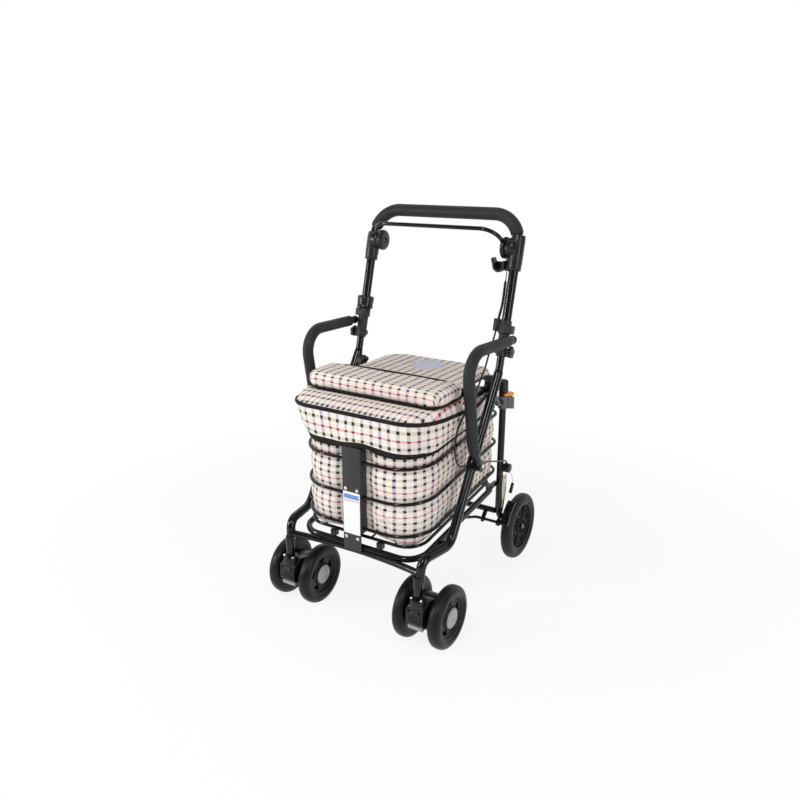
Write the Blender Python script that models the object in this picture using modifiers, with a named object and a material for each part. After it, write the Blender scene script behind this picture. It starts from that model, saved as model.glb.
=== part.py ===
"""Shopping rollator: a four-wheeled walking aid with a bag in a wire basket, a seat on top, padded
arms, a height-adjusting handle with a squeeze bar, twin swivel castors and braked rear wheels.

Metres, Z up. The front of the rollator looks along -Y and its user stands on the +Y side. The
origin is on the floor, under the middle of the object's box.
"""

import math

import bmesh
import bpy
import numpy as np
from mathutils import Matrix, Vector

# Clearances
GAP = 0.0003
FIT = 0.0005

# Side frames: the upper tube rises to the handle, the lower one slants down to the castor
FRAME_X = 0.205
FRAME_RADIUS = 0.0112
UPRIGHT_RADIUS = 0.0094
UPRIGHT_LEAN = 0.2658
UPRIGHT_Y = 0.0627
UPRIGHT_Z = 0.700
UPRIGHT_TOP = 0.775
KNEE_Z = 0.587
FOOT_Y = -0.1965
FOOT_Z = 0.227

# Castors
STEM_X = 0.184
STEM_Y = -0.3025
STEM_TOP = 0.190
STEM_BOTTOM = 0.1375
CASTOR_RADIUS = 0.075
CASTOR_TRAIL = 0.0537
CASTOR_SPACING = 0.0932
CASTOR_TYRE_WIDTH = 0.033
CASTOR_RIM_RADIUS = 0.0525
CASTOR_STEPS = 16
PEDAL_AXIS = Vector((0, -0.0120, 0.1150))
PEDAL_RIDGES = 4
RIDGE_PITCH = 0.0034

# Rear wheels and legs
REAR_WHEEL_X = 0.189
REAR_AXLE_Y = 0.232
REAR_RADIUS = 0.092
REAR_TYRE_WIDTH = 0.031
REAR_RIM_RADIUS = 0.066
REAR_STEPS = 18
LEG_X = 0.160
LEG_Y = 0.1625
LEG_TOP = 0.512
LEG_BEND_Y = 0.1595
LEG_BEND_Z = 0.150
LEG_RADIUS = 0.009
REAR_CROSS_Z = 0.157
REAR_CROSS_RADIUS = 0.008

# Basket: every ring climbs a little towards the rear
RING_SLOPE = 0.085
RING_RADIUS = 0.004
RING_REAR_Y = 0.1400
BASE_RADIUS = 0.0075
BASE_FRONT_Y = -0.2735
BASE_Z = 0.2095
BASE_REAR_Y = 0.1340
FLOOR_Z = 0.2300
FLOOR_FRONT_Y = -0.2695
RING_FRONT_Y = -0.2845
RING_HEIGHTS = {"lower": 0.258, "middle": 0.337, "upper": 0.413}
RING_HALF_WIDTH = 0.1735
RING_REAR_HALF_WIDTH = 0.162

# Front plate and cross tube
PLATE_WIDTH = 0.050
PLATE_WALL = 0.0022
PLATE_FACE_Y = -0.2945
PLATE_BOTTOM = 0.200
PLATE_TOP = 0.456
FLANGE_BOTTOM = 0.245
FLANGE_DEPTH = 0.016
LABEL_WIDTH = 0.042
LABEL_HEIGHT = 0.096
LABEL_BOTTOM = 0.251
LABEL_THICKNESS = 0.0009
CROSS_RADIUS = 0.008
CROSS_Z = 0.197
CROSS_BOW = 0.0155

# Seat
RAIL_X = 0.180
RAIL_Z = 0.541
RAIL_RADIUS = 0.008
RAIL_FRONT_Y = -0.1925
RAIL_END_Z = 0.4700
SEAT_HALF_WIDTH = 0.178
SEAT_FRONT_Y = -0.2260
SEAM_Y = -0.1095
LID_HALF_WIDTH = 0.158
LID_REAR_Y = 0.1250
BOARD_THICKNESS = 0.0060
BOARD_INSET = 0.010
CUSHION_THICKNESS = 0.0310
LID_PAD_THICKNESS = 0.0140
CROWN_SHOULDER = 1.03
CROWN_TOP = 1.06
BOARD_BOTTOM = RAIL_Z + RAIL_RADIUS + FIT
LID_AXIS_Z = BOARD_BOTTOM + BOARD_THICKNESS + LID_PAD_THICKNESS * CROWN_TOP + 0.001
BRACKET_Z = 0.566

# Bag
BAG_BOTTOM = FLOOR_Z + RING_RADIUS + FIT
BAG_WALL = 0.006
BAG_SWELL = 0.002
PIPING_Z = 0.5365
PIPING_SLOPE = -0.068

# Handle and its telescopes
HANDLE_X = 0.205
HANDLE_TOP = 0.9475
HANDLE_BEND = 0.070
POST_RADIUS = 0.0115
POST_WALL = 0.0013
POST_BOTTOM = 0.630
GRIP_RADIUS = 0.0155
GRIP_END = 0.902
SLEEVE_RADIUS = 0.0130
SLEEVE_BOTTOM = 0.622
SLEEVE_TOP = 0.675
COLLAR_TOP = 0.6955
LOCK_RING_TOP = 0.727
LIP_TOP = 0.705
KNOB_Z = 0.634
KNOB_X = 0.2280
DRUM_Z = 0.871
DRUM_RADIUS = 0.0245
DRUM_INNER = 0.0235
BAR_HUB = 0.030
BAR_REACH = Vector((0, -0.0555, 0.0475))
HOOK_RADIUS = 0.0155
CLIP_Z = 0.6935
KNOB_LOBES = 5

# Arms
ARM_X = 0.2235
ARM_RADIUS = 0.0095
ARM_PAD_RADIUS = 0.0135
ARM_Z = 0.664
ARM_REAR_Y = 0.050
ARM_RIVET_Y = 0.036
ARM_FRONT_Y = -0.168
ARM_CLAMP_Z = 0.392
ARM_BARE_REAR = 0.020
ARM_BARE_END = 0.043

# Brake
BRAKE_AXIS_Y = 0.138
BRAKE_AXIS_Z = 0.135
SHOE_GAP = 0.005
BLOCK_Y = 0.166
BLOCK_Z = 0.286
CABLE_RADIUS = 0.002
CABLE_POINTS = 46

CABLE_ROUTE = [
    (0.1885, 0.0925, 0.8160),
    (0.1880, 0.0850, 0.7900),
    (0.1855, 0.0720, 0.7400),
    (0.1835, 0.0640, 0.7120),
    (0.1835, 0.0510, 0.6760),
    (0.1870, 0.0150, 0.6360),
    (0.1900, -0.0100, 0.6070),
    (0.1900, -0.0300, 0.5850),
    (0.1940, -0.0600, 0.5630),
    (0.2010, -0.1340, 0.5230),
    (0.2030, -0.1690, 0.4960),
    (0.2030, -0.1790, 0.4600),
    (0.2010, -0.1680, 0.4260),
    (0.1950, -0.1420, 0.4020),
    (0.1870, -0.1060, 0.3860),
    (0.1860, -0.0400, 0.3700),
    (0.1840, 0.0400, 0.3480),
    (0.1800, 0.1100, 0.3240),
    (0.1780, 0.1500, 0.3120),
    (0.1780, 0.1638, 0.2994),
]

# Catch on the right leg
CATCH_TURN = math.radians(40)
CATCH_RADIUS = 0.0125
CATCH_BOTTOM = 0.452
CATCH_TOP = 0.485
LEVER_BOTTOM = 0.4856
LEVER_TOP = 0.4950

UP = Vector((0, 0, 1))
ACROSS = Vector((1, 0, 0))
LENGTHWISE = Vector((0, 1, 0))
UPRIGHT_DIRECTION = Vector((0, UPRIGHT_LEAN, 1)).normalized()


def upright_y(z):
    """Y of the upright's centre line at a height."""
    return UPRIGHT_Y + UPRIGHT_LEAN * (z - UPRIGHT_Z)


SLANT_DIRECTION = Vector((0, upright_y(KNEE_Z) - FOOT_Y, KNEE_Z - FOOT_Z)).normalized()


def slant_y(z):
    """Y of the slanted lower tube's centre line at a height."""
    return FOOT_Y + (upright_y(KNEE_Z) - FOOT_Y) * (z - FOOT_Z) / (KNEE_Z - FOOT_Z)


# Scene, collections and materials

def clear_scene():
    for obj in list(bpy.data.objects):
        bpy.data.objects.remove(obj, do_unlink=True)


def new_collection(name):
    made = bpy.data.collections.new(name)
    bpy.context.scene.collection.children.link(made)
    return made


def principled(name, colour, roughness, metallic=0.0):
    made = bpy.data.materials.new(name)
    made.use_nodes = True
    made.diffuse_color = (*colour, 1.0)
    shader = made.node_tree.nodes["Principled BSDF"]
    shader.inputs["Base Color"].default_value = (*colour, 1.0)
    shader.inputs["Roughness"].default_value = roughness
    shader.inputs["Metallic"].default_value = metallic
    return made


clear_scene()
PARTS = new_collection("shopping_rollator")
CUTTERS = new_collection("shopping_rollator_cutters")
BLACK_PAINT = principled("black_paint", (0.010, 0.010, 0.011), 0.22)
BLACK_PLASTIC = principled("black_plastic", (0.020, 0.020, 0.022), 0.42)
GREY_PLASTIC = principled("grey_plastic", (0.090, 0.095, 0.100), 0.45)
DARK_FOAM = principled("dark_foam", (0.030, 0.030, 0.032), 0.85)
TYRE_RUBBER = principled("tyre_rubber", (0.018, 0.018, 0.019), 0.50)
GREY_RUBBER = principled("grey_rubber", (0.055, 0.055, 0.058), 0.65)
HUB_PLASTIC = principled("hub_plastic", (0.060, 0.060, 0.063), 0.45)
CHECK_CLOTH = principled("check_cloth", (0.780, 0.700, 0.640), 0.90)
WHITE_PANEL = principled("white_panel", (0.850, 0.860, 0.870), 0.40)
ORANGE_PLASTIC = principled("orange_plastic", (0.850, 0.260, 0.020), 0.40)
ZINC = principled("yellow_zinc", (0.640, 0.560, 0.380), 0.35, 1.0)
SEAT_BOARD = principled("seat_board", (0.030, 0.030, 0.032), 0.60)


# Shape helpers

def add_object(name, data, material, collection=PARTS):
    made = bpy.data.objects.new(name, data)
    collection.objects.link(made)
    if material is not None:
        made.data.materials.clear()
        made.data.materials.append(material)
    return made


def mesh_object(name, work, material, smooth_angle=40):
    """An object from a bmesh, its normals facing out, shaded smooth between soft edges."""
    bmesh.ops.recalc_face_normals(work, faces=work.faces)
    mesh = bpy.data.meshes.new(name)
    work.to_mesh(mesh)
    work.free()
    mesh.shade_smooth()
    mesh.set_sharp_from_angle(angle=math.radians(smooth_angle))
    return add_object(name, mesh, material)


def baked(obj):
    """The object as a plain mesh in world space: its modifiers and place go into the mesh."""
    bpy.context.view_layer.update()
    evaluated = obj.evaluated_get(bpy.context.evaluated_depsgraph_get())
    mesh = bpy.data.meshes.new_from_object(evaluated)
    mesh.transform(obj.matrix_world)
    work = bmesh.new()
    work.from_mesh(mesh)
    bmesh.ops.remove_doubles(work, verts=work.verts, dist=1e-6)
    bmesh.ops.recalc_face_normals(work, faces=work.faces)
    work.to_mesh(mesh)
    work.free()
    mesh.shade_smooth()
    mesh.set_sharp_from_angle(angle=math.radians(40))
    name = obj.name
    material = obj.data.materials[0] if obj.data.materials else None
    collection = obj.users_collection[0]
    bpy.data.objects.remove(obj, do_unlink=True)
    mesh.name = name
    return add_object(name, mesh, material, collection)


def box(name, size, centre, material, turn=None, bevel=0.0):
    """A box of the given size; turn is a rotation matrix about its centre."""
    work = bmesh.new()
    bmesh.ops.create_cube(work, size=1.0)
    bmesh.ops.scale(work, verts=work.verts, vec=Vector(size))
    if bevel:
        bmesh.ops.bevel(work, geom=work.edges[:], offset=bevel, segments=2, profile=0.5,
                        affect="EDGES", clamp_overlap=True)
    place = Matrix.Translation(Vector(centre)) @ (turn.to_4x4() if turn else Matrix())
    bmesh.ops.transform(work, matrix=place, verts=work.verts)
    return mesh_object(name, work, material)


def along(direction):
    """The rotation that takes Z to a direction."""
    return UP.rotation_difference(Vector(direction).normalized()).to_matrix().to_4x4()


def cylinder(name, radius, start, end, material, segments=16, end_radius=None):
    start = Vector(start)
    end = Vector(end)
    work = bmesh.new()
    bmesh.ops.create_cone(work, cap_ends=True, segments=segments, radius1=radius,
                          radius2=radius if end_radius is None else end_radius,
                          depth=(end - start).length)
    place = Matrix.Translation((start + end) / 2) @ along(end - start)
    bmesh.ops.transform(work, matrix=place, verts=work.verts)
    return mesh_object(name, work, material)


def turned(name, profile, centre, direction, material, steps=16, phase=0.0):
    """A body of revolution: profile is a list of (radius, height) read down its outer side. It is
    closed on itself unless its ends lie on the axis. Phase turns its facets about the axis."""
    on_axis = profile[0][0] == 0
    count = len(profile)
    mesh = bpy.data.meshes.new(name)
    edges = [(i, i + 1) for i in range(count - 1)]
    if not on_axis:
        edges.append((count - 1, 0))
    mesh.from_pydata([(r, 0, h) for r, h in profile], edges, [])
    made = add_object(name, mesh, material)
    screw = made.modifiers.new("turn", "SCREW")
    screw.steps = steps
    screw.render_steps = steps
    screw.use_merge_vertices = True
    screw.merge_threshold = 0.00001
    made.matrix_world = (Matrix.Translation(Vector(centre)) @ along(direction)
                         @ Matrix.Rotation(phase, 4, "Z"))
    return baked(made)


def filleted(points, radii, steps=5):
    """The polyline through the points with each inner corner replaced by an arc of its radius."""
    corners = [Vector(p) for p in points]
    path = [corners[0]]
    for before, corner, after, radius in zip(corners, corners[1:], corners[2:], radii):
        back = (before - corner).normalized()
        forth = (after - corner).normalized()
        half = back.angle(forth) / 2
        reach = radius / math.tan(half)
        centre = corner + (back + forth).normalized() * (radius / math.sin(half))
        first = corner + back * reach - centre
        last = corner + forth * reach - centre
        sweep = math.pi - 2 * half
        for i in range(steps + 1):
            share = i / steps
            weight = (math.sin((1 - share) * sweep), math.sin(share * sweep))
            path.append(centre + (first * weight[0] + last * weight[1]) / math.sin(sweep))
    path.append(corners[-1])
    return path


def stretch(path, skip_start, skip_end):
    """The path less a length at its start and a length at its end."""
    def without_start(points, skip):
        while (points[1] - points[0]).length <= skip:
            skip -= (points[1] - points[0]).length
            points = points[1:]
        share = skip / (points[1] - points[0]).length
        return [points[0].lerp(points[1], share), *points[1:]]

    shorter = without_start(list(path), skip_start)
    return without_start(shorter[::-1], skip_end)[::-1]


def tube(name, path, radius, material, fineness=3, closed=False, capped=True, radii=None):
    """A round bar along a path; radii, where given, scales the radius at each point."""
    curve = bpy.data.curves.new(name, "CURVE")
    curve.dimensions = "3D"
    curve.bevel_depth = radius
    curve.bevel_resolution = fineness
    curve.use_fill_caps = capped and not closed
    spline = curve.splines.new("POLY")
    spline.points.add(len(path) - 1)
    for i, (point, place) in enumerate(zip(spline.points, path)):
        point.co = (*place, 1.0)
        if radii is not None:
            point.radius = radii[i]
    spline.use_cyclic_u = closed
    return baked(add_object(name, curve, material))


def hollow_tube(name, path, radius, wall, material, fineness=3):
    """A pipe open at both ends."""
    made = tube(name, path, radius, material, fineness, capped=False)
    shell = made.modifiers.new("wall", "SOLIDIFY")
    shell.thickness = wall
    shell.offset = -1.0
    shell.use_rim = True
    shell.use_even_offset = True
    return baked(made)


def flat_piece(name, outline, thickness, place, material):
    """A flat outline in its own XY plane, extruded by a thickness centred on it, then placed."""
    curve = bpy.data.curves.new(name, "CURVE")
    curve.dimensions = "2D"
    curve.fill_mode = "BOTH"
    curve.extrude = thickness / 2
    spline = curve.splines.new("POLY")
    spline.points.add(len(outline) - 1)
    for point, (x, y) in zip(spline.points, outline):
        point.co = (x, y, 0.0, 1.0)
    spline.use_cyclic_u = True
    made = add_object(name, curve, material)
    made.matrix_world = place
    return baked(made)


def panel(name, outline, bottom, thickness, material):
    """A flat outline laid level, with its underside at a height."""
    return flat_piece(name, outline, thickness,
                      Matrix.Translation((0, 0, bottom + thickness / 2)), material)


def fused(name, material, *pieces):
    """The union of overlapping pieces as one body."""
    first = pieces[0]
    for other in pieces[1:]:
        join = first.modifiers.new("join", "BOOLEAN")
        join.operation = "UNION"
        join.solver = "EXACT"
        join.object = other
    made = baked(first)
    for other in pieces[1:]:
        bpy.data.objects.remove(other, do_unlink=True)
    made.name = name
    made.data.name = name
    made.data.materials.clear()
    made.data.materials.append(material)
    return made


def cut(obj, *cutters):
    """Takes each cutter out of the object. The cutters stay, hidden, in their own collection."""
    for cutter in cutters:
        take = obj.modifiers.new("cut", "BOOLEAN")
        take.operation = "DIFFERENCE"
        take.solver = "EXACT"
        take.object = cutter
        cutter.hide_render = True
        cutter.display_type = "WIRE"
        for holder in list(cutter.users_collection):
            holder.objects.unlink(cutter)
        CUTTERS.objects.link(cutter)
    return obj


def pivot(name, place, *pieces):
    """An empty on a joint's axis, which carries the pieces that move with it."""
    made = bpy.data.objects.new(name, None)
    PARTS.objects.link(made)
    made.location = place
    made.empty_display_size = 0.02
    bpy.context.view_layer.update()
    for piece in pieces:
        piece.parent = made
        piece.matrix_parent_inverse = made.matrix_world.inverted()
    return made


def side_name(stem, side):
    return f"{stem}_{'right' if side > 0 else 'left'}"


# Frame

def side_frame_path(side):
    """Down the upright, round the knee, down the slant, forward at the foot and into the stem."""
    x = side * FRAME_X
    corners = [
        (x, upright_y(UPRIGHT_TOP), UPRIGHT_TOP),
        (x, upright_y(KNEE_Z), KNEE_Z),
        (x, FOOT_Y, FOOT_Z),
        (side * (STEM_X + 0.004), STEM_Y + 0.011, 0.2265),
        (side * STEM_X, STEM_Y + 0.004, 0.176),
    ]
    return filleted(corners, [0.060, 0.040, 0.024], steps=3)


def frame_bar(name, side, grown=0.0):
    """The side frame's tube: slim above the knee, where the handle's post slides over it."""
    path = side_frame_path(side)
    radius = FRAME_RADIUS + grown
    slim = (UPRIGHT_RADIUS + grown) / radius
    radii = [slim if point.z > KNEE_Z else 1.0 for point in path]
    return tube(name, path, radius, BLACK_PAINT, radii=radii)


def frame_bore(stem, side):
    """What a piece that hugs the side frame's tube loses to it."""
    return frame_bar(side_name(stem, side), side, GAP)


def side_frame(side):
    name = side_name("side_frame", side)
    bar = frame_bar(name + "_bar", side)
    cover = cylinder(name + "_cover", 0.0105, (side * STEM_X, STEM_Y, STEM_BOTTOM),
                     (side * STEM_X, STEM_Y, STEM_TOP), BLACK_PAINT, segments=12,
                     end_radius=0.0135)
    made = fused(name, BLACK_PAINT, bar, cover)
    bore = cylinder(name + "_bore", 0.0056, (side * STEM_X, STEM_Y, STEM_BOTTOM - 0.01),
                    (side * STEM_X, STEM_Y, STEM_TOP - 0.014), None)
    return cut(made, bore)


def cross_path():
    """The front cross tube bows a little to the rear between the stems."""
    half = STEM_X - 0.002
    return [Vector((x, STEM_Y + 0.003 + CROSS_BOW * (1 - (x / half) ** 2), CROSS_Z))
            for x in np.linspace(-half, half, 9)]


def front_cross_tube():
    made = tube("front_cross_tube", cross_path(), CROSS_RADIUS, BLACK_PAINT, 2)
    for side in (-1, 1):
        stem = cylinder(side_name("cross_stem_cope", side), 0.0105 + GAP,
                        (side * STEM_X, STEM_Y, STEM_BOTTOM),
                        (side * STEM_X, STEM_Y, STEM_TOP + GAP), None, segments=12,
                        end_radius=0.0135 + GAP)
        cut(made, frame_bore("cross_cope", side), stem)
    return made


def front_plate():
    """A channel: its web stands in front of the rings, which pass through holes in its flanges."""
    half = PLATE_WIDTH / 2
    back = PLATE_FACE_Y + PLATE_WALL + FLANGE_DEPTH
    outline = [(-half, PLATE_FACE_Y), (half, PLATE_FACE_Y), (half, back),
               (half - PLATE_WALL, back), (half - PLATE_WALL, PLATE_FACE_Y + PLATE_WALL),
               (PLATE_WALL - half, PLATE_FACE_Y + PLATE_WALL), (PLATE_WALL - half, back),
               (-half, back)]
    pieces = [panel("plate_channel", outline, PLATE_BOTTOM, PLATE_TOP - PLATE_BOTTOM, BLACK_PAINT)]
    for z in (LABEL_BOTTOM - 0.007, LABEL_BOTTOM + LABEL_HEIGHT + 0.007):
        for x in (-0.016, 0.016):
            pieces.append(cylinder("plate_screw", 0.0038, (x, PLATE_FACE_Y + 0.001, z),
                                   (x, PLATE_FACE_Y - 0.0016, z), BLACK_PAINT, segments=6,
                                   end_radius=0.0022))
    made = fused("front_plate", BLACK_PAINT, *pieces)
    foot_room = FLANGE_BOTTOM - PLATE_BOTTOM + 0.010
    cut(made, box("plate_foot", (PLATE_WIDTH + 0.010, FLANGE_DEPTH + 0.010, foot_room),
                  (0, PLATE_FACE_Y + PLATE_WALL + (FLANGE_DEPTH + 0.010) / 2,
                   FLANGE_BOTTOM - foot_room / 2), None))
    for ring, z in RING_HEIGHTS.items():
        cut(made, cylinder(f"plate_hole_{ring}", RING_RADIUS + FIT, (-0.04, RING_FRONT_Y, z),
                           (0.04, RING_FRONT_Y, z), None, segments=12))
    return made


def label_panel():
    return box("label_panel", (LABEL_WIDTH, LABEL_THICKNESS, LABEL_HEIGHT),
               (0, PLATE_FACE_Y - GAP - LABEL_THICKNESS / 2, LABEL_BOTTOM + LABEL_HEIGHT / 2),
               WHITE_PANEL)


# Basket

def ring_path(half_front, half_rear, front_y, rear_y, z, radius_front, radius_rear,
              slope=RING_SLOPE, corner_points=4):
    """A rounded ring, a little narrower at the rear, in a plane that climbs towards the rear."""
    corners = [(-half_front, front_y, radius_front), (half_front, front_y, radius_front),
               (half_rear, rear_y, radius_rear), (-half_rear, rear_y, radius_rear)]
    flat = []
    for i, (x, y, radius) in enumerate(corners):
        before = corners[i - 1]
        after = corners[(i + 1) % 4]
        line = filleted([(before[0], before[1], 0), (x, y, 0), (after[0], after[1], 0)],
                        [radius], corner_points)
        flat.extend(line[1:-1])
    return [Vector((p.x, p.y, z + slope * (p.y - front_y))) for p in flat]


def basket_ring(place):
    z = RING_HEIGHTS[place]
    path = ring_path(RING_HALF_WIDTH, RING_REAR_HALF_WIDTH, RING_FRONT_Y, RING_REAR_Y, z,
                     0.055, 0.035)
    return tube(f"basket_ring_{place}", path, RING_RADIUS, BLACK_PAINT, 1, closed=True)


def base_height(y):
    return BASE_Z + RING_SLOPE * (y - BASE_FRONT_Y)


def base_ring():
    """The thick lower ring, with a spacer to each side frame and a lug to each rear leg."""
    path = ring_path(0.167, 0.158, BASE_FRONT_Y, BASE_REAR_Y, BASE_Z, 0.075, 0.038, corner_points=3)
    ring = tube("base_bar", path, BASE_RADIUS, BLACK_PAINT, 2, closed=True)
    pieces = [ring]
    spacer_y = FOOT_Y + 0.012
    for side in (-1, 1):
        pieces.append(cylinder("base_spacer", 0.006, (side * 0.163, spacer_y, base_height(spacer_y)),
                               (side * (FRAME_X - 0.004), spacer_y, base_height(spacer_y) + 0.012),
                               BLACK_PAINT, segments=8))
        pieces.append(box("base_lug", (0.010, 0.056, 0.012),
                          (side * 0.1525, 0.1275, base_height(0.1275)), BLACK_PAINT))
    made = fused("base_ring", BLACK_PAINT, *pieces)
    for side in (-1, 1):
        cut(made, frame_bore("base_cope", side),
            tube(side_name("base_leg_cope", side), leg_path(side), LEG_RADIUS + GAP, None))
    return made


def floor_height(y):
    return FLOOR_Z + RING_SLOPE * (y - FLOOR_FRONT_Y)


def basket_floor():
    """The bag's tray: an inner ring with floor wires, on short blocks over the base ring."""
    rear_y = 0.124
    path = ring_path(0.160, 0.151, FLOOR_FRONT_Y, rear_y, FLOOR_Z, 0.065, 0.034)
    pieces = [tube("floor_bar", path, RING_RADIUS, BLACK_PAINT, 1, closed=True)]
    wire = 0.0025
    for x in (-0.100, -0.035, 0.035, 0.100):
        pieces.append(tube("floor_wire", [Vector((x, FLOOR_FRONT_Y, floor_height(FLOOR_FRONT_Y))),
                                          Vector((x, rear_y, floor_height(rear_y)))],
                           wire, BLACK_PAINT, 0))
    for y in (-0.150, -0.020):
        pieces.append(tube("floor_wire", [Vector((-0.156, y, floor_height(y))),
                                          Vector((0.156, y, floor_height(y)))],
                           wire, BLACK_PAINT, 0))
    for x in (-0.048, 0.048):
        for y in (BASE_FRONT_Y + 0.001, BASE_REAR_Y - 0.0055):
            top = floor_height(y)
            bottom = base_height(y) + BASE_RADIUS + 0.001
            pieces.append(box("floor_block", (0.012, 0.012, top - bottom),
                              (x, y, (top + bottom) / 2), BLACK_PAINT))
    return fused("basket_floor", BLACK_PAINT, *pieces)


def basket_rear_strap():
    """A flat bar behind the rings, which ties them to the base ring."""
    y = RING_REAR_Y + RING_RADIUS + GAP
    bottom = base_height(y) - 0.006
    top = RING_HEIGHTS["upper"] + RING_SLOPE * (RING_REAR_Y - RING_FRONT_Y) + 0.010
    thickness = 0.003
    return box("basket_rear_strap", (0.030, thickness, top - bottom),
               (0, y + thickness / 2, (top + bottom) / 2), BLACK_PAINT, bevel=0.0008)


# Rear legs

def leg_path(side):
    x = side * LEG_X
    return filleted([(x, LEG_Y, LEG_TOP), (x, LEG_BEND_Y, LEG_BEND_Z),
                     (x, REAR_AXLE_Y, REAR_RADIUS)], [0.045])


def rear_leg(side):
    """A leg with its foot bent back to the axle, the axle and its end nut."""
    name = side_name("rear_leg", side)
    x = side * LEG_X
    bar = tube(name + "_bar", leg_path(side), LEG_RADIUS, BLACK_PAINT)
    axle_end = REAR_WHEEL_X + REAR_TYRE_WIDTH / 2 - 0.001
    boss = cylinder("leg_boss", 0.013, (x - side * 0.009, REAR_AXLE_Y, REAR_RADIUS),
                    (x + side * 0.0095, REAR_AXLE_Y, REAR_RADIUS), BLACK_PAINT, segments=12)
    axle = cylinder("leg_axle", 0.0045, (x, REAR_AXLE_Y, REAR_RADIUS),
                    (side * axle_end, REAR_AXLE_Y, REAR_RADIUS), BLACK_PAINT, segments=10)
    nut = cylinder("leg_nut", 0.0075, (side * (axle_end - 0.005), REAR_AXLE_Y, REAR_RADIUS),
                   (side * axle_end, REAR_AXLE_Y, REAR_RADIUS), BLACK_PAINT, segments=6)
    return fused(name, BLACK_PAINT, bar, boss, axle, nut)


def leg_cap(side):
    """The plastic head of a leg, where the seat rail ends."""
    name = side_name("leg_cap", side)
    x = side * LEG_X
    profile = [(0, 0.0178), (0.0085, 0.0170), (0.0120, 0.0135), (0.0128, -0.0130),
               (0.0118, -0.0140), (LEG_RADIUS + GAP, -0.0140), (LEG_RADIUS + GAP, GAP), (0, GAP)]
    return turned(name, profile, (x, LEG_Y, LEG_TOP), UP, BLACK_PLASTIC, steps=14)


def rear_cross_tube():
    """Joins the feet of the legs and carries the lugs of the brake shaft."""
    y = LEG_BEND_Y
    end = LEG_X - LEG_RADIUS - GAP
    bar = tube("rear_cross_bar", [Vector((-end, y, REAR_CROSS_Z)), Vector((end, y, REAR_CROSS_Z))],
               REAR_CROSS_RADIUS, BLACK_PAINT)
    pieces = [bar]
    lean = math.atan2(y - BRAKE_AXIS_Y, REAR_CROSS_Z - BRAKE_AXIS_Z)
    reach = math.hypot(y - BRAKE_AXIS_Y, REAR_CROSS_Z - BRAKE_AXIS_Z)
    for x in (-0.125, 0.125):
        pieces.append(box("brake_lug", (0.005, 0.018, reach),
                          (x, (y + BRAKE_AXIS_Y) / 2, (REAR_CROSS_Z + BRAKE_AXIS_Z) / 2),
                          BLACK_PAINT, turn=Matrix.Rotation(-lean, 3, "X")))
        pieces.append(cylinder("brake_lug_eye", 0.009, (x - 0.0025, BRAKE_AXIS_Y, BRAKE_AXIS_Z),
                               (x + 0.0025, BRAKE_AXIS_Y, BRAKE_AXIS_Z), BLACK_PAINT,
                               segments=12))
    made = fused("rear_cross_tube", BLACK_PAINT, *pieces)
    return cut(made, cylinder("brake_shaft_bore", 0.0045, (-0.14, BRAKE_AXIS_Y, BRAKE_AXIS_Z),
                              (0.14, BRAKE_AXIS_Y, BRAKE_AXIS_Z), None, segments=12))


# Seat

def seat_frame_path():
    """From the right leg, forward along the rail, across the front and back to the left leg."""
    half = []
    for side in (1, -1):
        run = [
            (side * LEG_X, LEG_Y - LEG_RADIUS - 0.0022, RAIL_END_Z),
            (side * (LEG_X + 0.006), 0.118, RAIL_END_Z + 0.006),
            (side * (RAIL_X + 0.001), 0.040, RAIL_Z),
            (side * RAIL_X, RAIL_FRONT_Y, RAIL_Z),
        ]
        half.append(run)
    corners = half[0] + half[1][::-1]
    return filleted(corners, [0.05, 0.05, 0.035, 0.035, 0.05, 0.05], steps=2)


def seat_frame():
    """The bent rail, coped to the left leg and to the clip's collar on the right leg."""
    made = tube("seat_frame", seat_frame_path(), RAIL_RADIUS, BLACK_PAINT, 2)
    return cut(made, tube("rail_leg_cope", leg_path(-1), LEG_RADIUS + GAP, None),
               cylinder("rail_catch_cope", CATCH_RADIUS + 2 * GAP, (LEG_X, LEG_Y, RAIL_END_Z - 0.03),
                        (LEG_X, LEG_Y, RAIL_END_Z + 0.03), None))


def seat_bracket(side):
    """A block on the rail, bolted to the inner side of the side frame by a round-headed screw."""
    name = side_name("seat_bracket", side)
    y = slant_y(BRACKET_Z)
    saddle = cylinder("bracket_saddle", RAIL_RADIUS + 0.0035, (side * RAIL_X, y - 0.018, RAIL_Z),
                      (side * RAIL_X, y + 0.017, RAIL_Z), BLACK_PLASTIC, segments=12)
    post = flat_piece("bracket_post", [(y - 0.015, RAIL_Z - 0.003), (y + 0.014, RAIL_Z - 0.003),
                                       (y + 0.020, BRACKET_Z + 0.008), (y + 0.012, BRACKET_Z + 0.015),
                                       (y - 0.004, BRACKET_Z + 0.015), (y - 0.012, BRACKET_Z)],
                      0.022, side_plate_place(side * 0.1870), BLACK_PLASTIC)
    screw = cylinder("bracket_screw", 0.0075, (side * 0.1780, y + 0.004, BRACKET_Z + 0.003),
                     (side * 0.1700, y + 0.004, BRACKET_Z + 0.003), BLACK_PLASTIC, segments=12,
                     end_radius=0.0060)
    made = fused(name, BLACK_PLASTIC, saddle, post, screw)
    return cut(made, frame_bore("bracket_frame_bore", side),
               tube(name + "_rail_bore", seat_frame_path(), RAIL_RADIUS + GAP, None, 2))


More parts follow.
